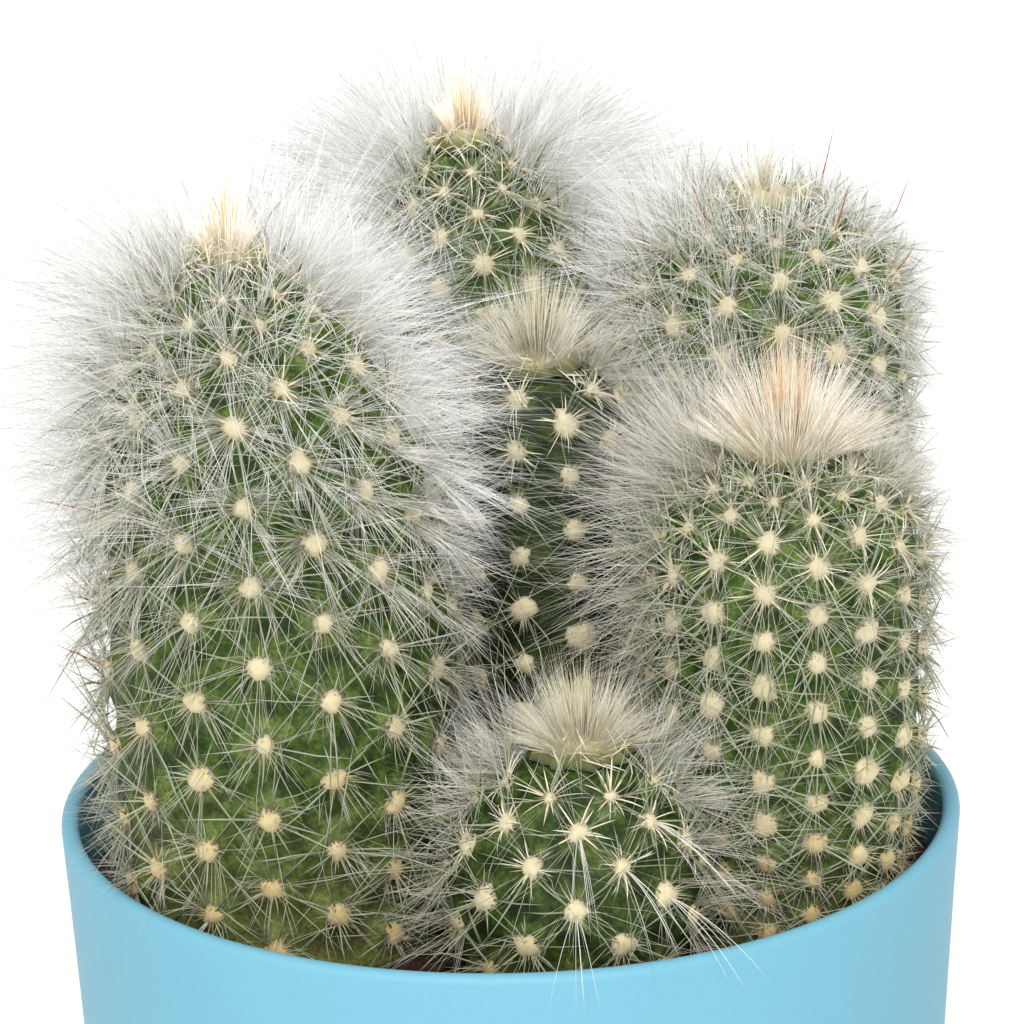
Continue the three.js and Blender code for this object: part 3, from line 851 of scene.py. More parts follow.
class CactusSizes(bpy.types.PropertyGroup):
    """The sizes of the fine parts that the solids leave out."""

    felt_radius: length_property(
        "Felt pad radius", "Radius of an areole's felt pad", 0.00185, 0.0005, 0.002
    )
    spine_radius: length_property(
        "Spine radius", "Radius of a radial spine at its root", 0.000115, 0.00005, 0.0003
    )
    wool_radius: length_property(
        "Hair radius", "Radius of a long hair at its root", 0.000029, 0.00002, 0.0002
    )
    spines: bpy.props.FloatProperty(
        name="Spines", description="Share of each areole's radial spines", default=1, min=0.2, max=2
    )
    low_hairs: count_property(
        "Hairs low down", f"Long hairs on {HAIR_PATCH} square millimetres near the soil", 34, 60
    )
    high_hairs: count_property(
        "Hairs near the crown", f"Long hairs on {HAIR_PATCH} square millimetres near the crown", 62, 120
    )
    crumbs: count_property("Crumbs of soil", "Loose crumbs on the soil", 900, 3000)


def tangent_fan(areoles, count, rng):
    """Each areole count times, and sideways directions spread evenly round it."""
    turn = turns(rng, (len(areoles.share), 1))
    uneven = rng.uniform(-0.7, 0.7, (len(areoles.share), count))
    side = turn + 2 * np.pi * (np.arange(count) + uneven) / count
    each = areoles.repeated(count)
    return each, between(each.round_, each.along, side.ravel())


def radial_spines(shape, sizes):
    """Straight spines that fan out low over the skin. They stand steeper towards the crown."""
    stem, coat = shape.stem, shape.coat
    rng = shape.draws(SPINE_SEED)
    each, sideways = tangent_fan(shape.areoles, round(sizes.spines * coat.spines), rng)
    count = len(sideways)
    high = smooth((each.share - 0.45) / 0.5)
    angle = np.radians(rng.uniform(6, 32, count) + high * rng.uniform(0, 16, count))
    rising = (0.4 * smooth((each.share - 0.8) / 0.15))[:, None]
    drawn = 0.4 + (0.95 + 0.45 * (1 - high)) * rng.uniform(0, 1, count) ** 1.2
    length = (stem.spine[0] + (stem.spine[1] - stem.spine[0]) * high) * drawn
    length *= np.clip(0.45 + 0.55 * each.spacing / 5, 0.5, 1) * (1 - 0.15 * high)
    length *= 1 - (1 - coat.right) * 0.7 * towards_right(each.radial)
    return Strands(
        root=each.at + sideways * 0.5,
        direction=unit(between(sideways, each.outward, angle) + 0.12 * UP + each.radial * rising),
        length=length,
        bend=drawn_unit(rng, count) * 0.12 - each.outward * 0.03,
        radius=sizes.spine_radius / MM * rng.uniform(0.5, 1.4, count),
        # A stem's tone below one turns its spines towards the darker tint; on the middle stem this is painted
        # shade.
        shade=rng.uniform(0, 1, count) * (1 - 0.5 * high) + 1.4 * (1 - coat.tone),
    ).trimmed(shape)


def wool_hairs(shape, sizes, wisps=9):
    """Long soft hairs in small wisps and single ones. They are dense at the sides, a short thin veil on
    the upper front, and low down they are short and beige and droop."""
    coat = shape.coat
    rng = shape.draws(WOOL_SEED)
    areoles = shape.areoles
    total = len(areoles.share)
    high = smooth((areoles.share - 0.3) / 0.55)
    front = towards_front(areoles.radial)
    upper_front = front * smooth((areoles.share - 0.5) / 0.25)
    density = coat.density * (1 - 0.5 * front) * (1 - upper_front) + coat.veil * upper_front
    density *= sizes.low_hairs + (sizes.high_hairs - sizes.low_hairs) * high
    density *= 1 + 0.6 * smooth((areoles.share - 0.75) / 0.2)
    density *= 1 + 0.5 * smooth(2 * np.abs(areoles.radial[:, 0]) - 0.8)
    owner = np.repeat(np.arange(total), np.round(density * areoles.area / HAIR_PATCH).astype(int))
    own = areoles.picked(owner)
    count = len(owner)

    wisp_side = turns(rng, (total, wisps))
    straight = (0.55 * high * (1 - front))[:, None]
    wisp_lift = rng.uniform(0.35, 1.5, (total, wisps)) * (1 - straight) + 1.2 * straight
    wisp_bend = rng.normal(0, 0.12, (total, wisps, 3))
    wisp_length = rng.uniform(0.5 + 0.5 * straight, 1.15, (total, wisps))
    high, front, upper_front = high[owner], front[owner], upper_front[owner]
    wisp = owner, rng.integers(0, wisps, count)
    loose = rng.uniform(0, 1, count) < 0.35
    side = wisp_side[wisp] + rng.normal(0, 0.09, count)
    lift = wisp_lift[wisp] + rng.normal(0, 0.07, count)
    side = np.where(loose, turns(rng, count), side)
    lift = np.where(loose, rng.uniform(0.2, 1.5, count), lift)
    sideways = between(own.round_, own.along, side)
    rise = (coat.rise + 0.75 * smooth((own.share - 0.78) / 0.2)) * (1 - upper_front)
    length = (coat.shortest + (coat.longest - coat.shortest) * high ** 1.5) * rng.uniform(0.8, 1.1, count)
    length *= np.where(loose, rng.uniform(0.6, 1.1 + 0.7 * (1 - high), count), wisp_length[wisp])
    shortened = 0.95 * (1 - coat.shortest / coat.longest) * upper_front * np.where(loose, 0.5, 1)
    length *= (1 - (1 - coat.right) * towards_right(own.radial)) * (1 - shortened)
    return Strands(
        root=own.at + sideways * (rng.uniform(0.6, 1.0, count) * own.pads(sizes))[:, None],
        direction=unit(between(sideways, own.outward, lift) + UP * rise[:, None]),
        length=length,
        bend=wisp_bend[wisp] * (0.5 + high)[:, None] + drawn_unit(rng, count) * 0.04 - 0.09 * UP,
        wave=drawn_unit(rng, count) * (0.01 + 0.02 * high)[:, None],
        phase=turns(rng, count),
        radius=sizes.wool_radius / MM * rng.uniform(0.6, 1.3, count) * np.where(loose, 1.4, 1),
        shade=rng.uniform(0, 0.35, count) + 0.65 * (1 - high) + coat.beige + 0.3 * front,
    ).trimmed(shape)


def cleared_front(angle, bare, least, most, rng):
    """Angles round a stem, moved a little towards its sides, after those at the front are sent to the
    back if how bare they are passes a draw between least and most."""
    hidden = bare * towards_front(around(angle)) > rng.uniform(least, most, len(angle))
    angle = np.where(hidden, -angle, angle)
    return angle - 0.3 * np.sin(2 * angle)


def crown_fan(shape, sizes, wisp=5):
    """Wisps of long hairs from just below the crown, which fan out from upwards to sideways. Those of
    the front go to the back, so that the areoles show right up to the crown."""
    stem, coat = shape.stem, shape.coat
    count = coat.fan
    rng = shape.draws(FAN_SEED)
    owner = np.arange(count) // wisp
    wisps = owner[-1] + 1
    angle = cleared_front(turns(rng, wisps), coat.bare, 0.1, 1.1, rng)
    radial = around(angle[owner] + rng.normal(0, 0.07, count))
    height = crown_height(stem) - rng.uniform(0, 0.3, wisps)[owner] * stem.radius * stem.dome
    widest = 98 - 48 * towards_front(radial)
    tilt = np.radians(4 + widest * rng.uniform(0, 1, wisps)[owner] ** 0.8)
    direction = between(UP, radial, tilt) + drawn_unit(rng, wisps)[owner] * 0.12
    direction += drawn_unit(rng, count) * 0.07
    length = coat.longest * rng.uniform(0.5, 1.05, wisps)[owner] * rng.uniform(0.7, 1.1, count)
    return Strands(
        root=stem_point(stem, height, radial),
        direction=unit(direction),
        length=length * (0.65 + 0.35 * np.sin(tilt)) * (1 - (1 - coat.right) * towards_right(radial)),
        bend=drawn_unit(rng, wisps)[owner] * 0.08 + drawn_unit(rng, count) * 0.04 - 0.05 * UP,
        wave=drawn_unit(rng, count) * 0.015,
        phase=turns(rng, count),
        radius=sizes.wool_radius / MM * rng.uniform(0.7, 1.3, count),
        shade=rng.uniform(0, 0.35, count) + coat.beige,
    ).trimmed(shape)


def halo_hairs(shape, sizes):
    """Fine straight hairs that stand out from the upper half of a stem, all round but for its front, as a
    pale haze at its edges."""
    stem, coat = shape.stem, shape.coat
    count = coat.halo
    rng = shape.draws(HALO_SEED)
    radial = around(cleared_front(turns(rng, count), 1, 0, 0.8, rng))
    climb = rng.uniform(0, 1, count) ** 0.6
    height = crown_height(stem) * (0.5 + 0.5 * climb)
    lift = np.radians(rng.uniform(-25, 35, count) + 55 * climb ** 4 * rng.uniform(0, 1, count))
    length = coat.longest * rng.uniform(0.45, 1.05, count) * (1 - 0.25 * np.sin(lift))
    length *= (0.6 + 0.4 * climb) * (1 - (1 - coat.right) * towards_right(radial))
    return Strands(
        root=stem_point(stem, height, radial),
        direction=unit(between(radial, UP, lift) + drawn_unit(rng, count) * 0.2),
        length=length,
        radius=1.8 * sizes.wool_radius / MM * rng.uniform(0.7, 1.3, count),
        shade=rng.uniform(0, 0.3, count) + coat.beige,
    ).trimmed(shape)


def rim_hairs(each=5):
    """A few long hairs of the shortest stem that lean out over the pot's rim and hang down outside it."""
    shape = SHAPE["front"]
    rng = np.random.default_rng(RIM_SEED)
    share, radial = shape.areoles.share, shape.areoles.radial
    chosen = (share > 0.35) & (share < 0.8) & (radial[:, 1] < -0.5) & (radial[:, 0] > -0.35)
    own = shape.areoles.picked(chosen).repeated(each)
    count = len(own.share)
    return Strands(
        root=own.at,
        direction=unit(own.radial + rng.uniform(-0.35, 0.35, (count, 1)) * [1, 0, 0] - 0.1 * UP),
        length=rng.uniform(9, 13, count),
        bend=-UP * rng.uniform(0.3, 0.55, count)[:, None],
        radius=rng.uniform(0.035, 0.06, count),
        shade=rng.uniform(0.25, 0.7, count),
    ).trimmed(shape, least=0.75)


def crown_hairs(shape, sizes, wisp=4):
    """Straight hairs in wisps from the crown's cushion: those in its middle rise and are the longest,
    and those at its edge lean out."""
    stem, coat = shape.stem, shape.coat
    count = coat.tuft
    rng = shape.draws(TUFT_SEED)
    owner = np.arange(count) // wisp
    wisps = owner[-1] + 1
    out = np.clip(rng.uniform(0, 1, wisps)[owner] ** 0.6 + rng.normal(0, 0.04, count), 0, 1)
    angle = turns(rng, wisps)[owner] + rng.normal(0, 0.05, count) / np.maximum(out, 0.2)
    radial = around(angle)
    height = crown_top(stem) * np.sqrt(1 - 0.9 * (coat.core * out) ** 2)
    tilt = np.radians(coat.spread * out ** 1.3 * (1 - 0.25 * towards_front(radial)))
    tilt += np.radians(rng.normal(0, 6, wisps)[owner] + rng.normal(0, 2, count))
    place = radial * (coat.core * stem.crown[0] * out)[:, None] + UP * (0.9 * height)[:, None]
    longest = stem.crown[1] * rng.uniform(0.75, 1.25, wisps)[owner] - height
    return Strands(
        root=crown_base(stem) + place,
        direction=unit(between(UP, radial, tilt)),
        length=longest * rng.uniform(0.3, 1, count) ** 0.5 * (1 - 0.35 * out),
        bend=drawn_unit(rng, count) * 0.06,
        wave=drawn_unit(rng, count) * 0.012,
        phase=turns(rng, count),
        radius=1.5 * sizes.wool_radius / MM * rng.uniform(0.6, 1.2, count),
        shade=smooth(1.5 - 1.5 * out / coat.golden) + rng.normal(0, 0.15, count),
    ).trimmed(shape, own_margin=-5)


def cushion_places(stem, count, rng):
    """Points drawn on the outer part of the crown's cushion, with a sideways and an outward direction."""
    t = rng.uniform(0, 0.85, count)
    radial = around(turns(rng, count))
    radius, height = crown_core(stem, t)
    root = crown_base(stem) + radial * radius[:, None] + UP * height[:, None]
    outward = unit(radial * np.sqrt(1 - t ** 2)[:, None] + UP * (0.3 + t)[:, None])
    round_ = np.cross(UP, radial)
    return root, between(round_, np.cross(outward, round_), turns(rng, count)), outward


def crown_claws(shape):
    """Short pale spines of the youngest areoles and of the cushion, which arch: t direction - t^2 outward."""
    stem = shape.stem
    rng = shape.draws(CLAW_SEED)
    young = shape.areoles.share > (crown_height(stem) - 0.8 * stem.radius) / stem.height
    each, sideways = tangent_fan(shape.areoles.picked(young), 11, rng)
    on_top = cushion_places(stem, round(180 * (1 - shape.coat.core)), rng)
    pairs = zip((each.at + sideways * 0.3, sideways, each.outward), on_top)
    root, sideways, outward = [np.concatenate(pair) for pair in pairs]
    count = len(root)
    lift = rng.uniform(0.5, 1.0, (count, 1))
    return Strands(
        root=root,
        direction=unit(sideways + outward * lift),
        length=rng.uniform(2.4, 5.0, count),
        bend=-outward * lift * 0.55 + drawn_unit(rng, count) * 0.1,
        radius=rng.uniform(0.07, 0.14, count),
        shade=rng.uniform(0, 1, count),
    ).trimmed(shape, own_margin=-3)


def central_spines(shape, low, left, right, number):
    """Single stiff spines above a share of the height, left or right of two limits across."""
    rng = shape.draws(CENTRAL_SEED)
    across = shape.areoles.radial[:, 0]
    chosen = (shape.areoles.share > low) & ((across < left) | (across > right))
    own = shape.areoles.picked(rng.permutation(np.flatnonzero(chosen))[:number])
    count = len(own.share)
    lean = rng.uniform(-0.4, 0.4, (count, 2))
    return Strands(
        root=own.at,
        direction=unit(own.outward + own.round_ * lean[:, :1] + own.along * lean[:, 1:] + 0.7 * UP),
        length=rng.uniform(5, 8.5, count),
        bend=drawn_unit(rng, count) * 0.05,
        radius=0.11,
        shade=rng.uniform(0, 1, count),
    ).trimmed(shape)


def felt_domes(areoles, pad, rng):
    """Low domes on the skin, dented by draws: three rings and a top."""
    ring = between(areoles.round_[:, None], areoles.along[:, None], circle(PAD_SIDES))
    reach = pad[:, None, None] * rng.uniform(0.75, 1.2, (len(pad), PAD_SIDES, 1))
    base, outward = areoles.at[:, None], areoles.outward[:, None]
    up = outward * pad[:, None, None]
    low = base + ring * reach * 0.72 - outward * 0.12
    middle = base + ring * reach * 0.62 + up * 0.14
    high = base + ring * reach * 0.36 + up * 0.31
    vertices = np.concatenate([low, middle, high, base - outward * 0.3, base + up * 0.37], axis=1)
    faces = copied(capped_faces(3, PAD_SIDES), vertices.shape[1], len(pad))
    return vertices.reshape(-1, 3), faces


def felt_fringe(areoles, pad, rng, count=28):
    """Short down that stands out all round a pad, some of it longer than its radius."""
    own, size = areoles.repeated(count), np.repeat(pad, count)
    total = len(size)
    side = turns(rng, total)
    lift = np.arcsin(rng.uniform(0.05, 1, total))
    sideways = between(own.round_, own.along, side)
    return Strands(
        root=own.at + sideways * (0.3 * size)[:, None] + own.outward * 0.1,
        direction=between(sideways, own.outward, lift),
        length=size * (0.6 + 1.1 * rng.uniform(0, 1, total) ** 2),
        radius=rng.uniform(0.045, 0.085, total),
    )


def crown_body(stem):
    """The crown's cushion as a closed surface with uneven flutes, and each point's share of its height."""
    t = np.sin(np.linspace(0, 0.48 * np.pi, 12))
    rows = turned(np.stack(crown_core(stem, t), axis=1), CUSHION_SIDES)
    angle = circle(CUSHION_SIDES)
    rows[..., :2] *= (1 + 0.06 * np.sin(9 * angle + 1.7) + 0.05 * np.sin(17 * angle))[None, :, None]
    vertices, faces = closed_rings(rows + crown_base(stem))
    return vertices, faces, np.concatenate([np.repeat(t, CUSHION_SIDES), [0, 1]])


def soil_height(points):
    """The soil's surface: its top, moved by the mean of sines in drawn directions, of 9, 3.2 and 1.3 mm."""
    rng = np.random.default_rng(SOIL_SEED)
    relief = np.zeros(points.shape[:-1])
    for size, weight in ((9, 0.25), (3.2, 0.22), (1.3, 0.12)):
        angle = turns(rng, 9)
        phase = turns(rng, 9)
        pitch = 2 * np.pi / (size * rng.uniform(0.7, 1.4, 9))
        across = points[..., :1] * np.cos(angle) + points[..., 1:2] * np.sin(angle)
        relief += weight * np.sin(across * pitch + phase).sum(-1) / 3
    return SOIL_TOP - 0.2 + np.clip(relief, -0.9, 0.9)


def soil_crumbs(count):
    """Twelve-cornered lumps, each stretched and dented by draws of its own, half sunk in the soil."""
    rng = np.random.default_rng(CRUMB_SEED)
    tries = 4 * count
    out = 41.5 * np.sqrt(rng.uniform(0, 1, tries))
    middle = out[:, None] * around(turns(rng, tries)) + UP * SOIL_TOP
    size = rng.gamma(3.0, 0.2, tries) + 0.25
    free = out < 40.8 - 1.6 * size
    for stem in STEMS:
        away = np.hypot(middle[:, 0] - stem.at[0], middle[:, 1] - stem.at[1])
        free &= away > stem_radius(stem, 0.0) + 1.0 + 1.6 * size
    middle, size = middle[free][:count], size[free][:count]
    count = len(size)
    middle[:, 2] = soil_height(middle) + 0.15 * size

    angle = circle(CRUMB_SIDES)
    lower, upper = 0.9 * around(angle + 0.63) - 0.45 * UP, 0.9 * around(angle) + 0.45 * UP
    lump = np.concatenate([lower, upper, [-UP, UP]])
    stretch = rng.uniform(0.6, 1.5, (count, 1, 3)) * [1, 1, 0.7]
    points = lump[None] * stretch * (1 + rng.uniform(-0.22, 0.22, (count, len(lump), 1)))
    spin = turns(rng, count)
    forwards = around(spin)[:, None]
    flat = points[..., :1] * forwards + points[..., 1:2] * np.cross(UP, forwards)
    points = (flat + points[..., 2:] * UP) * size[:, None, None] + middle[:, None]
    return points.reshape(-1, 3), copied(capped_faces(2, CRUMB_SIDES), len(lump), count)


class CACTUS_OT_pot(bpy.types.Operator):
    """Make the pot: a thin tapered wall with a round lip, and a flat floor with drain holes"""

    bl_idname = "cactus.pot"
    bl_label = "Pot"

    def execute(self, context):
        floor_inner, floor_outer = 24.0, 34.0
        turn = np.linspace(0, np.pi / 2, 6)
        foot = pot_radius(0) - FOOT_ROUND
        outer_foot = np.stack([foot + FOOT_ROUND * np.sin(turn), FOOT_ROUND * (1 - np.cos(turn))], axis=1)
        turn = np.linspace(0, np.pi, 15)
        lip_radius, lip_height = pot_radius(POT_HEIGHT) - LIP, POT_HEIGHT - LIP
        lip = np.stack([lip_radius + LIP * np.cos(turn), lip_height + LIP * np.sin(turn)], axis=1)
        up = np.linspace(FOOT_ROUND, lip_height, 12)[1:-1]
        down = np.linspace(lip_height, POT_FLOOR, 12)[1:]
        profile = np.concatenate([
            [[floor_inner, 0], [floor_outer, 0]],
            outer_foot,
            np.stack([pot_radius(up), up], axis=1),
            lip,
            np.stack([pot_radius(down) - POT_WALL, down], axis=1),
            [[floor_inner, POT_FLOOR]],
        ])
        vertices, faces = closed_rings(turned(profile, POT_SIDES))
        pot = make_object("plant_pot", vertices, faces, pot_material(context.scene.cactus_colours))
        cut_holes(pot, [
            (x, y, DRAIN_RADIUS, -2, POT_FLOOR + 2) for x, y, _ in DRAIN_RING * around(circle(DRAIN_COUNT))
        ])
        declare(pot, "pot_plastic", "pot")
        return {"FINISHED"}


class CACTUS_OT_soil(bpy.types.Operator):
    """Make the soil, with a hole for each stem, and the crumbs that lie on it"""

    bl_idname = "cactus.soil"
    bl_label = "Soil"

    def execute(self, context):
        material = soil_material(context.scene.cactus_colours)
        bottom = POT_FLOOR + GAP
        shoulder = SOIL_TOP - SOIL_EDGE
        edge = pot_radius(shoulder) - POT_WALL - GAP
        profile = [(20, bottom), (pot_radius(bottom) - POT_WALL - GAP, bottom), (edge, shoulder)]
        profile += [(ring, SOIL_TOP) for ring in np.linspace(edge - 0.8, 0.6, 70)]
        rows = turned(profile, SOIL_SIDES)
        rows[3:, :, 2] = soil_height(rows[3:])
        soil = make_object("compost", *closed_rings(rows), material)
        cut_holes(soil, [
            (*stem.at, float(stem_radius(stem, 0.0)) + 1.5 * GAP, SOIL_TOP - HOLE_DEPTH - GAP, SOIL_TOP + 5)
            for stem in STEMS
        ])
        declare(soil, "potting_soil", "soil")
        crumbs = make_object("compost_crumbs", *soil_crumbs(context.scene.cactus_sizes.crumbs), material)
        declare(crumbs, "potting_soil")
        return {"FINISHED"}


class CACTUS_OT_skins(bpy.types.Operator):
    """Make the green skin of each stem: a net of u round it and v up it, closed at both ends"""

    bl_idname = "cactus.skins"
    bl_label = "Stems"

    def execute(self, context):
        material = skin_material(context.scene.cactus_colours)
        for shape in SHAPES:
            stem = shape.stem
            round_it = np.arange(6 * stem.ribs) / 6
            u, v = np.meshgrid(round_it, np.arange(4 * shape.last + 1) / 4)
            radius = FOOT_NARROWING * stem_radius(stem, 0.0)
            foot = stem_axis(stem, 0.0) - HOLE_DEPTH * UP + radius * shape.radial(round_it)
            vertices, faces = closed_rings(np.concatenate([foot[None], shape.skin(u, v)]))
            flat = np.zeros(len(round_it))
            share = np.concatenate([flat, (shape.height(v) / stem.height).ravel(), [0, 1]])
            values = {
                "relief": np.concatenate([flat, shape.relief(u, v).ravel(), [0, 0]]),
                "share": share,
                # Tone: the stem's tone, up to a quarter lighter towards the top; the middle stem's low tone
                # is painted shade.
                "tone": shape.coat.tone * (1 + 0.25 * smooth((share - 0.55) / 0.3)),
            }
            skin = make_object(f"skin_{stem.name}", vertices, faces, material, values=values)
            declare(skin, "cactus_skin", f"stem_{stem.name}")
        return {"FINISHED"}


class CACTUS_OT_felt(bpy.types.Operator):
    """Make the felt pads of the areoles: low domes with a fringe of short down"""

    bl_idname = "cactus.felt"
    bl_label = "Felt pads"

    def execute(self, context):
        colours = context.scene.cactus_colours
        stops = [(0.08, colours.felt_old), (0.45, colours.felt), (0.95, colours.felt_young)]
        material = felt_material("areole_felt", stops)
        for shape in SHAPES:
            areoles = shape.areoles
            rng = shape.draws(PAD_SEED)
            pad = areoles.pads(context.scene.cactus_sizes) * rng.uniform(0.8, 1.12, len(areoles.share))
            domes, dome_faces = felt_domes(areoles, pad, rng)
            down, down_faces, _ = strand_mesh(felt_fringe(areoles, pad, rng), 1)
            vertices = np.concatenate([domes, down])
            faces = np.concatenate([dome_faces, down_faces + len(domes)])
            corners = [len(domes) // len(pad), len(down) // len(pad)]
            share = np.concatenate([np.repeat(areoles.share, number) for number in corners])
            felt = make_object(f"felt_{shape.stem.name}", vertices, faces, material, values={"share": share})
            declare(felt, "cactus_wool")
        return {"FINISHED"}


class CACTUS_OT_spines(bpy.types.Operator):
    """Make the spines: a low fan in each areole, claws on and round the crowns, and a few red-brown ones"""

    bl_idname = "cactus.spines"
    bl_label = "Spines"

    def execute(self, context):
        sizes = context.scene.cactus_sizes
        colours = context.scene.cactus_colours
        stops = [(0.0, colours.spine_root), (0.25, colours.spine), (1.0, colours.spine)]
        material = strand_material("glassy_radial_spines", stops, linear("#7f8a68"), 0.8, 0.4, 0.0)
        for shape in SHAPES:
            add_strands(f"spines_{shape.stem.name}", radial_spines(shape, sizes), 2, material)
        stops = shaded((0.0, "#d4caa8"), (0.5, "#e4deca"), (1.0, "#ece9de"))
        material = strand_material("ivory_young_spines", stops, linear("#dacea8"), 0.6, 0.4, 0.0)
        add_strands("crown_claws", joined([crown_claws(shape) for shape in SHAPES]), 4, material)
        stops = [*shaded((0.0, "#c99a5c")), (0.3, colours.red), *shaded((1.0, "#6d2f22"))]
        material = strand_material("red_brown_central_spines", stops, linear("#c07a45"), 0.5, 0.4)
        round_crown = central_spines(SHAPE["back_right"], 0.84, -0.4, 0.5, 11)
        at_left = central_spines(SHAPE["left_front"], 0.4, -0.8, 2, 5)
        add_strands("central_spines", joined([round_crown, at_left]), 3, material)
        return {"FINISHED"}


class CACTUS_OT_wool(bpy.types.Operator):
    """Make the long white hairs that veil the stems, the fine ones round them and those over the rim"""

    bl_idname = "cactus.wool"
    bl_label = "Wool"

    def execute(self, context):
        sizes = context.scene.cactus_sizes
        colours = context.scene.cactus_colours
        stops = [(0.0, colours.wool_root), (0.4, colours.wool), *shaded((1.0, "#eff0f2"))]
        wool = strand_material("long_white_hair", stops, linear("#b5ad94"), 0.75)
        # The fine hairs are grey and get strong painted light, an emission that evens out their light and
        # shade in the haze.
        stops = [(0.0, colours.halo), (1.0, colours.halo)]
        halo = strand_material("fine_grey_hair", stops, linear("#a9a58f"), 0.75, painted_glow=0.5)
        for shape in SHAPES:
            hairs = joined([wool_hairs(shape, sizes), crown_fan(shape, sizes)])
            add_strands(f"wool_{shape.stem.name}", hairs, 2, wool)
            add_strands(f"halo_{shape.stem.name}", halo_hairs(shape, sizes), 1, halo)
        add_strands("rim_hairs", rim_hairs(), 6, wool)
        return {"FINISHED"}


class CACTUS_OT_crowns(bpy.types.Operator):
    """Make the woolly crowns: a felt cushion on each stem's top, with a tuft of straight hairs"""

    bl_idname = "cactus.crowns"
    bl_label = "Crowns"

    def execute(self, context):
        felt = felt_material("crown_felt", shaded((0.1, "#3f4a24"), (0.6, "#6d6d44"), (1.0, "#b9ae85")))
        for shape in SHAPES:
            name, coat = shape.stem.name, shape.coat
            vertices, faces, share = crown_body(shape.stem)
            values = {"share": share + 0.4 * (coat.core - 0.5)}
            cushion = make_object(f"cushion_{name}", vertices, faces, felt, values=values)
            declare(cushion, "cactus_wool", f"crown_{name}")
            tint, *codes = coat.colours
            stops = shaded(*zip((0.0, 0.45, 1.0), codes))
            material = strand_material(f"crown_hair_{name}", stops, linear(tint), 0.75)
            add_strands(f"tuft_{name}", crown_hairs(shape, context.scene.cactus_sizes), 2, material)
        return {"FINISHED"}


class CACTUS_OT_stage(bpy.types.Operator):
    """Make the pale floor, the soft light and the photograph's camera"""

    bl_idname = "cactus.stage"
    bl_label = "Stage"

    def execute(self, context):
        scene = context.scene
        scene.view_settings.view_transform = "Standard"
        material, add = new_material("white_sweep_paper")
        where = add("ShaderNodeTexCoord").outputs["Object"]
        fibre = add("ShaderNodeTexNoise", {"Scale": marks(PAPER_FIBRE), "Detail": 2.0}, {"Vector": where})
        tone = add("ShaderNodeMapRange", {"To Min": 0.9, "To Max": 0.92}, {"Value": fibre})
        shader = add("ShaderNodeBsdfPrincipled", {"Roughness": 0.9}, {"Base Color": tone})
        add("ShaderNodeOutputMaterial", None, {"Surface": shader})
        corners = FLOOR_HALF * np.array([[-1, -1, 0], [1, -1, 0], [1, 1, 0], [-1, 1, 0]])
        make_object("floor", corners, [[0, 1, 2], [0, 2, 3]], material)

        world = bpy.data.worlds.new("soft_white_room")
        world.use_nodes = True
        background = world.node_tree.nodes["Background"]
        background.inputs["Color"].default_value = (1, 1, 1, 1)
        background.inputs["Strength"].default_value = SKY_STRENGTH
        scene.world = world

        light = bpy.data.lights.new("window_light", "SUN")
        light.energy = SUN_STRENGTH
        light.angle = math.radians(35)
        lamp = bpy.data.objects.new("window_light", light)
        lamp.rotation_euler = Vector(SUN_TOWARDS).to_track_quat("Z", "Y").to_euler()
        context.collection.objects.link(lamp)

        make_camera(context)
        return {"FINISHED"}


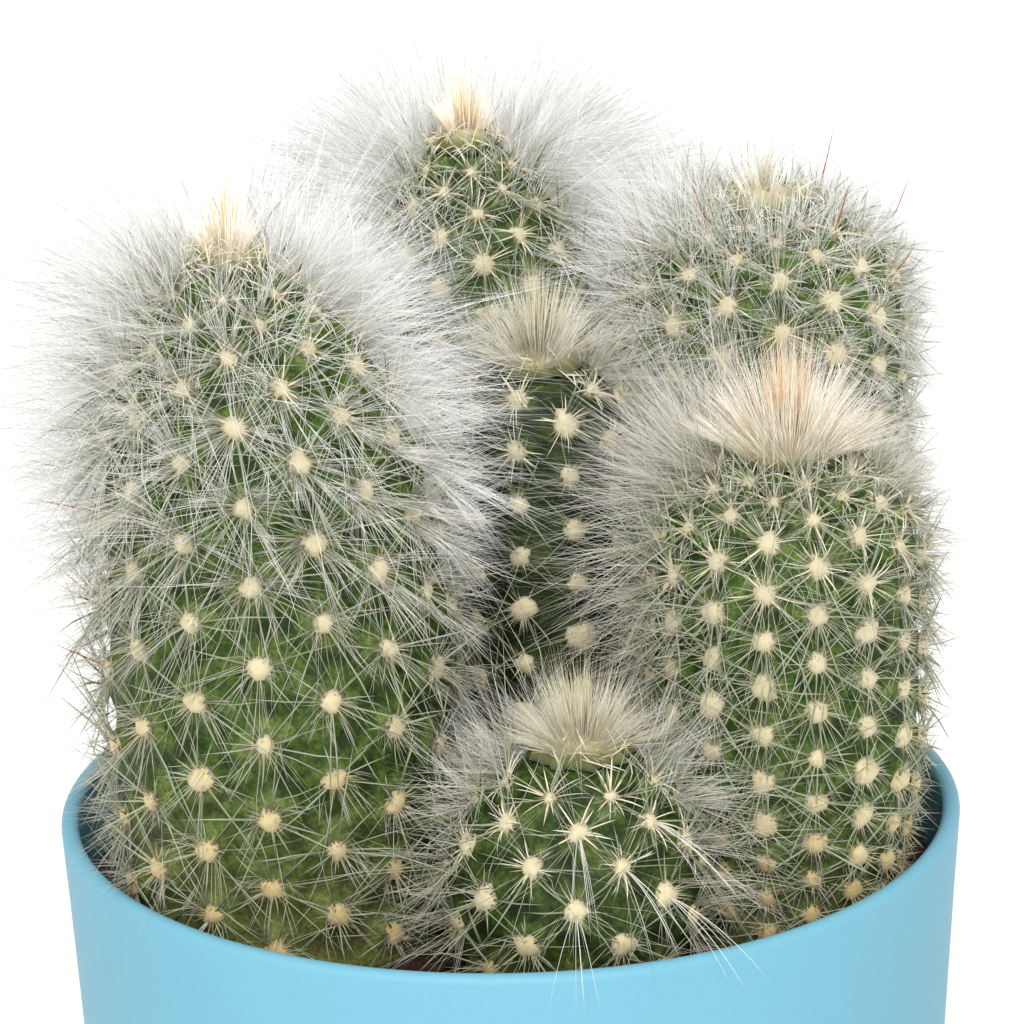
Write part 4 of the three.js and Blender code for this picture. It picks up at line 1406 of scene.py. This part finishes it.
def make_camera(context):
    """The camera looks from the front at the photograph's tilt and roll, and is turned, not shifted,
    until the middle of the rim falls where the photograph has it."""
    sin, cos = math.sin(CAMERA_ELEVATION), math.cos(CAMERA_ELEVATION)
    right, up, ahead = Vector((1, 0, 0)), Vector((0, sin, cos)), Vector((0, cos, -sin))
    rolled_right = right * math.cos(CAMERA_ROLL) + up * math.sin(CAMERA_ROLL)
    rolled_up = up * math.cos(CAMERA_ROLL) - right * math.sin(CAMERA_ROLL)
    middle = PHOTO_SIZE / 2
    aside = (middle - RIM_PIXEL[0]) / FOCAL_PIXELS
    above = (RIM_PIXEL[1] - middle) / FOCAL_PIXELS
    axis = (ahead + rolled_right * aside + rolled_up * above).normalized()
    side = (rolled_right - axis * rolled_right.dot(axis)).normalized()
    camera = bpy.data.cameras.new("camera")
    camera.sensor_width = SENSOR
    camera.lens = FOCAL_PIXELS / PHOTO_SIZE * SENSOR
    camera.clip_start = 0.01
    holder = bpy.data.objects.new("camera", camera)
    place = Vector((0, 0, POT_HEIGHT)) - ahead * CAMERA_DISTANCE
    columns = Matrix((side, side.cross(axis), -axis)).transposed()
    holder.matrix_world = Matrix.Translation(place * MM) @ columns.to_4x4()
    context.collection.objects.link(holder)
    context.scene.camera = holder


OPERATORS = (
    CACTUS_OT_stage, CACTUS_OT_pot, CACTUS_OT_soil, CACTUS_OT_skins, CACTUS_OT_felt, CACTUS_OT_spines,
    CACTUS_OT_wool, CACTUS_OT_crowns,
)


class CACTUS_PT_panel(bpy.types.Panel):
    """The sizes, the colours and a button for each piece"""

    bl_label = "Potted old man cactus"
    bl_space_type = "VIEW_3D"
    bl_region_type = "UI"
    bl_category = "Cactus"

    def draw(self, context):
        for group in (context.scene.cactus_sizes, context.scene.cactus_colours):
            box = self.layout.box()
            for name in group.__annotations__:
                box.prop(group, name)
        for operator in OPERATORS:
            self.layout.operator(operator.bl_idname)


CLASSES = (CactusColours, CactusSizes, *OPERATORS, CACTUS_PT_panel)


def register():
    for cls in CLASSES:
        bpy.utils.register_class(cls)
    bpy.types.Scene.cactus_colours = bpy.props.PointerProperty(type=CactusColours)
    bpy.types.Scene.cactus_sizes = bpy.props.PointerProperty(type=CactusSizes)


def unregister():
    del bpy.types.Scene.cactus_sizes
    del bpy.types.Scene.cactus_colours
    for cls in reversed(CLASSES):
        bpy.utils.unregister_class(cls)


def main():
    register()
    bpy.ops.cactus.stage()
    bpy.ops.cactus.pot()
    bpy.ops.cactus.soil()
    bpy.ops.cactus.skins()
    bpy.ops.cactus.felt()
    bpy.ops.cactus.spines()
    bpy.ops.cactus.wool()
    bpy.ops.cactus.crowns()


if __name__ == "__main__":
    main()
